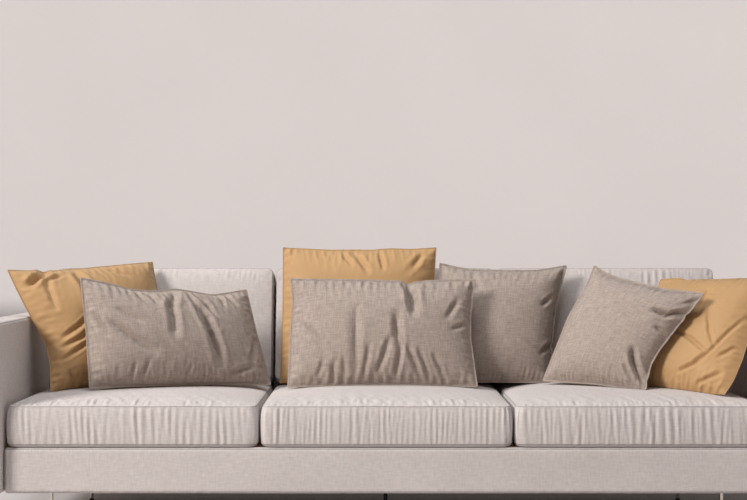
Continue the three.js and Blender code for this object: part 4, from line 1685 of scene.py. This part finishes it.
for cut in cushions:
    points = placed(cut["start"], cut["origin"], cut["axes"])
    cloth = hang_cloth(cut["node"] + "_cloth", points, cut["faces"], cut["pattern"],
                       cut["held"], pressure=CUSHION_PRESSURE, bending=CUSHION_BENDING,
                       tighter=cut["tighter"], quality=3, mass=CUSHION_MASS)
    settings = cloth.modifiers["cloth"].settings
    settings.vertex_group_shrink = "tighter"
    settings.shrink_min = 0.0
    settings.shrink_max = cut["shrink"]
    cloths.append(cloth)
settled = settle(cloths, FINE_FRAMES)
print("fine cloths:", [len(points) for points in settled])

# %% [markdown]
# ## Covers on their foam
# Foam gives a cushion its crown, and the cover only lies on it. So the simulation is asked
# for the folds, and the crown is added to its result as a smooth dome, with the soft ripples
# that run across the panel. Scaling the simulated rise up to the crown would scale its
# folds too, until they stood up like torn tufts. The bulge of the boxing is held to what the
# foam allows, and the cushions are set against each other in the order in which they would
# be put on the sofa.

# %% Cushion covers
FOAM_GIVES = (0.0005, 0.0060)


def limit_swelling(cut, points):
    """In the cushion's own axes: lift the panel to the foam's crown, and hold the bulge."""
    width, length, thick = cut["size"]
    points = points.copy()
    rise = points[:, 2] - thick
    top = cut["top"]
    highest = rise[top].max()
    points[:, 2] += (cut["crown"] - highest) * cut["dome"] + cut["ripples"]
    points[top, 2] -= max(0.0, points[top, 2].max() - thick - cut["crown"]) * cut["dome"][top]
    for axis, half in ((0, width / 2), (1, length / 2)):
        beyond = np.abs(points[:, axis]) - half
        most = np.percentile(beyond[~top], 99.5)
        allowed = cut["bulge"] + FOAM_GIVES[axis]
        if most > allowed:
            over = np.maximum(beyond, 0)
            points[:, axis] -= np.sign(points[:, axis]) * over * (1 - allowed / most)
    return points, highest


seat_covers, back_covers = [], []
for cut, points in zip(cushions, settled[len(pillows):]):
    axes, origin = cut["axes"], cut["origin"]
    local = (points - origin) @ axes.T
    local, swell = limit_swelling(cut, local)
    points, flat, faces, sides, distance = close_underside(cut, local)
    points = placed(points, origin, axes)
    is_seat = "seat" in cut["node"]
    if is_seat:
        obstacles = list(seat_covers)
    else:
        obstacles = [pieces["back_cover"], *seat_covers, *back_covers]
    points, moved = clear_of(points, obstacles)
    name = cut["node"].replace("cushion", "cushion_cover")
    mesh = make_mesh(name, points, faces, box_pattern(flat, faces, sides), distance)
    mesh.materials.append(sofa_cloth)
    cover = make_piece(name, mesh, [cut["node"]])
    (seat_covers if is_seat else back_covers).append(cover)
    print(name, len(points), "points, swell", round(swell, 4), "moved", moved)

# %% [markdown]
# ## Sewing the pillows' edges
# The simulated panels meet in one line. On the real pillows the linen ones have a narrow
# flat flange outside a row of topstitching, and the sateen ones a plain turned seam. So the
# line is opened into a front and a back row of points, and the flange is a thin closed
# fold between them.

# %% Flanges
SEAM_OPENING = 0.0008
EDGE_SMOOTHINGS = 6
CORNER_REACH = 3


def sewn_edge(plan, points):
    """Panels plus flange as one closed skin. Returns points, flat pattern, faces, distance."""
    numbers, columns, rows, spots = plan["fine"]
    width, height = plan["size"]
    flange = plan["flange"]
    ring = [(i, 0) for i in range(columns)] + [(columns, j) for j in range(rows)]
    ring += [(i, rows) for i in range(columns, 0, -1)] + [(0, j) for j in range(rows, 0, -1)]
    count = len(ring)
    seam = np.array([points[numbers[(0, i, j)]] for i, j in ring])

    def inner(side, i, j):
        return points[numbers[(side, min(max(i, 1), columns - 1), min(max(j, 1), rows - 1))]]

    front_in = np.array([inner(1, i, j) for i, j in ring])
    back_in = np.array([inner(-1, i, j) for i, j in ring])
    tangent = np.roll(seam, -1, 0) - np.roll(seam, 1, 0)
    tangent /= np.linalg.norm(tangent, axis=1)[:, None]
    outward = 2 * seam - front_in - back_in
    facing = front_in - back_in
    for _ in range(EDGE_SMOOTHINGS):
        outward = (np.roll(outward, 1, 0) + 2 * outward + np.roll(outward, -1, 0)) / 4
        facing = (np.roll(facing, 1, 0) + 2 * facing + np.roll(facing, -1, 0)) / 4
    outward -= tangent * (outward * tangent).sum(1)[:, None]
    outward /= np.linalg.norm(outward, axis=1)[:, None]
    facing -= tangent * (facing * tangent).sum(1)[:, None]
    facing -= outward * (facing * outward).sum(1)[:, None]
    facing /= np.linalg.norm(facing, axis=1)[:, None]
    corner_steps = [0, columns, columns + rows, 2 * columns + rows]
    for step in corner_steps:
        before = outward[(step - CORNER_REACH) % count]
        after = outward[(step + CORNER_REACH) % count]
        outward[step] = before + after
    for step in corner_steps:
        for shift in (-2, -1, 1, 2):
            other = (step + shift) % count
            blend = 1 - abs(shift) / CORNER_REACH
            outward[other] = outward[other] * (1 - blend * 0.5) + outward[step] * blend * 0.5

    flat_ring = np.array([(i / columns * width, j / rows * height) for i, j in ring])
    centre = np.array([width / 2, height / 2])
    flat_out = np.where(np.abs(flat_ring - centre) >= centre - 1e-6,
                        np.sign(flat_ring - centre), 0.0)
    all_points = [point for point in points]
    all_flat = [(u * width, v * height) for u, v, _ in spots]
    distance = [min(u * width, (1 - u) * width, v * height, (1 - v) * height)
                for u, v, _ in spots]
    front_row = [numbers[(0, i, j)] for i, j in ring]

    def add_row(reach, thick, side):
        row = []
        for step in range(count):
            row.append(len(all_points))
            all_points.append(seam[step] + outward[step] * reach
                              + facing[step] * side * thick)
            all_flat.append(tuple(flat_ring[step] + flat_out[step] * reach))
            distance.append(reach)
        return row

    half = 0.0016 if flange > 0.005 else 0.0009
    mid_front = add_row(flange * 0.5, half, 1)
    tip_front = add_row(flange * 0.92, half * 0.8, 1)
    tip = add_row(flange, 0.0, 1)
    tip_back = add_row(flange * 0.92, half * 0.8, -1)
    mid_back = add_row(flange * 0.5, half, -1)
    back_row = add_row(0.0, SEAM_OPENING, -1)
    for step, index in enumerate(front_row):
        all_points[index] = seam[step] + facing[step] * SEAM_OPENING
    back_of = dict(zip(front_row, back_row))
    _, skin, _ = panel_pair(columns, rows)
    panel_faces = columns * rows
    faces = skin[:panel_faces]
    faces += [[back_of.get(index, index) for index in face] for face in skin[panel_faces:]]
    order = [front_row, mid_front, tip_front, tip, tip_back, mid_back, back_row]
    for near_row, far_row in zip(order, order[1:]):
        for step in range(count):
            after = (step + 1) % count
            faces.append([near_row[after], near_row[step], far_row[step], far_row[after]])
    return np.array(all_points), all_flat, faces, distance


# %% [markdown]
# The pillows are laid on the sofa from the rear ones to the front ones, and each is kept
# clear of the cushions, of the pillows behind it and of the arms.

# %% Pillow covers
ARM_CLEARANCE = 0.003
pillow_covers = []
arms = [pieces["arm_cover_left"], pieces["arm_cover_right"]]
for plan, points in zip(pillows, settled[:len(pillows)]):
    points, flat, faces, distance = sewn_edge(plan, points)
    points, moved = clear_of(points, [*seat_covers, *back_covers, *pillow_covers])
    points, _ = clear_of(points, arms, gap=ARM_CLEARANCE)
    name = plan["node"].replace("pillow", "pillow_cover")
    mesh = make_mesh(name, points, faces, flat, distance)
    mesh.materials.append(plan["cloth"])
    cover = make_piece(name, mesh, [plan["node"]])
    pillow_covers.append(cover)
    print(name, len(points), "points, moved", moved)

# %% [markdown]
# ## Finish
# The sizes of both boxes, the solids' and the sofa's, are printed, together with the
# number of triangles.

# %% Print the sizes
graph = bpy.context.evaluated_depsgraph_get()
triangles = 0
for piece in pieces.values():
    shown = piece.evaluated_get(graph).to_mesh()
    triangles += sum(len(polygon.vertices) - 2 for polygon in shown.polygons)
print("triangles:", triangles)
visual_box = [list(corner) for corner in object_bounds()]
for name, box in (("solids", cad_box), ("sofa", visual_box)):
    print(name, [round(high - low, 4) for low, high in zip(*box)])
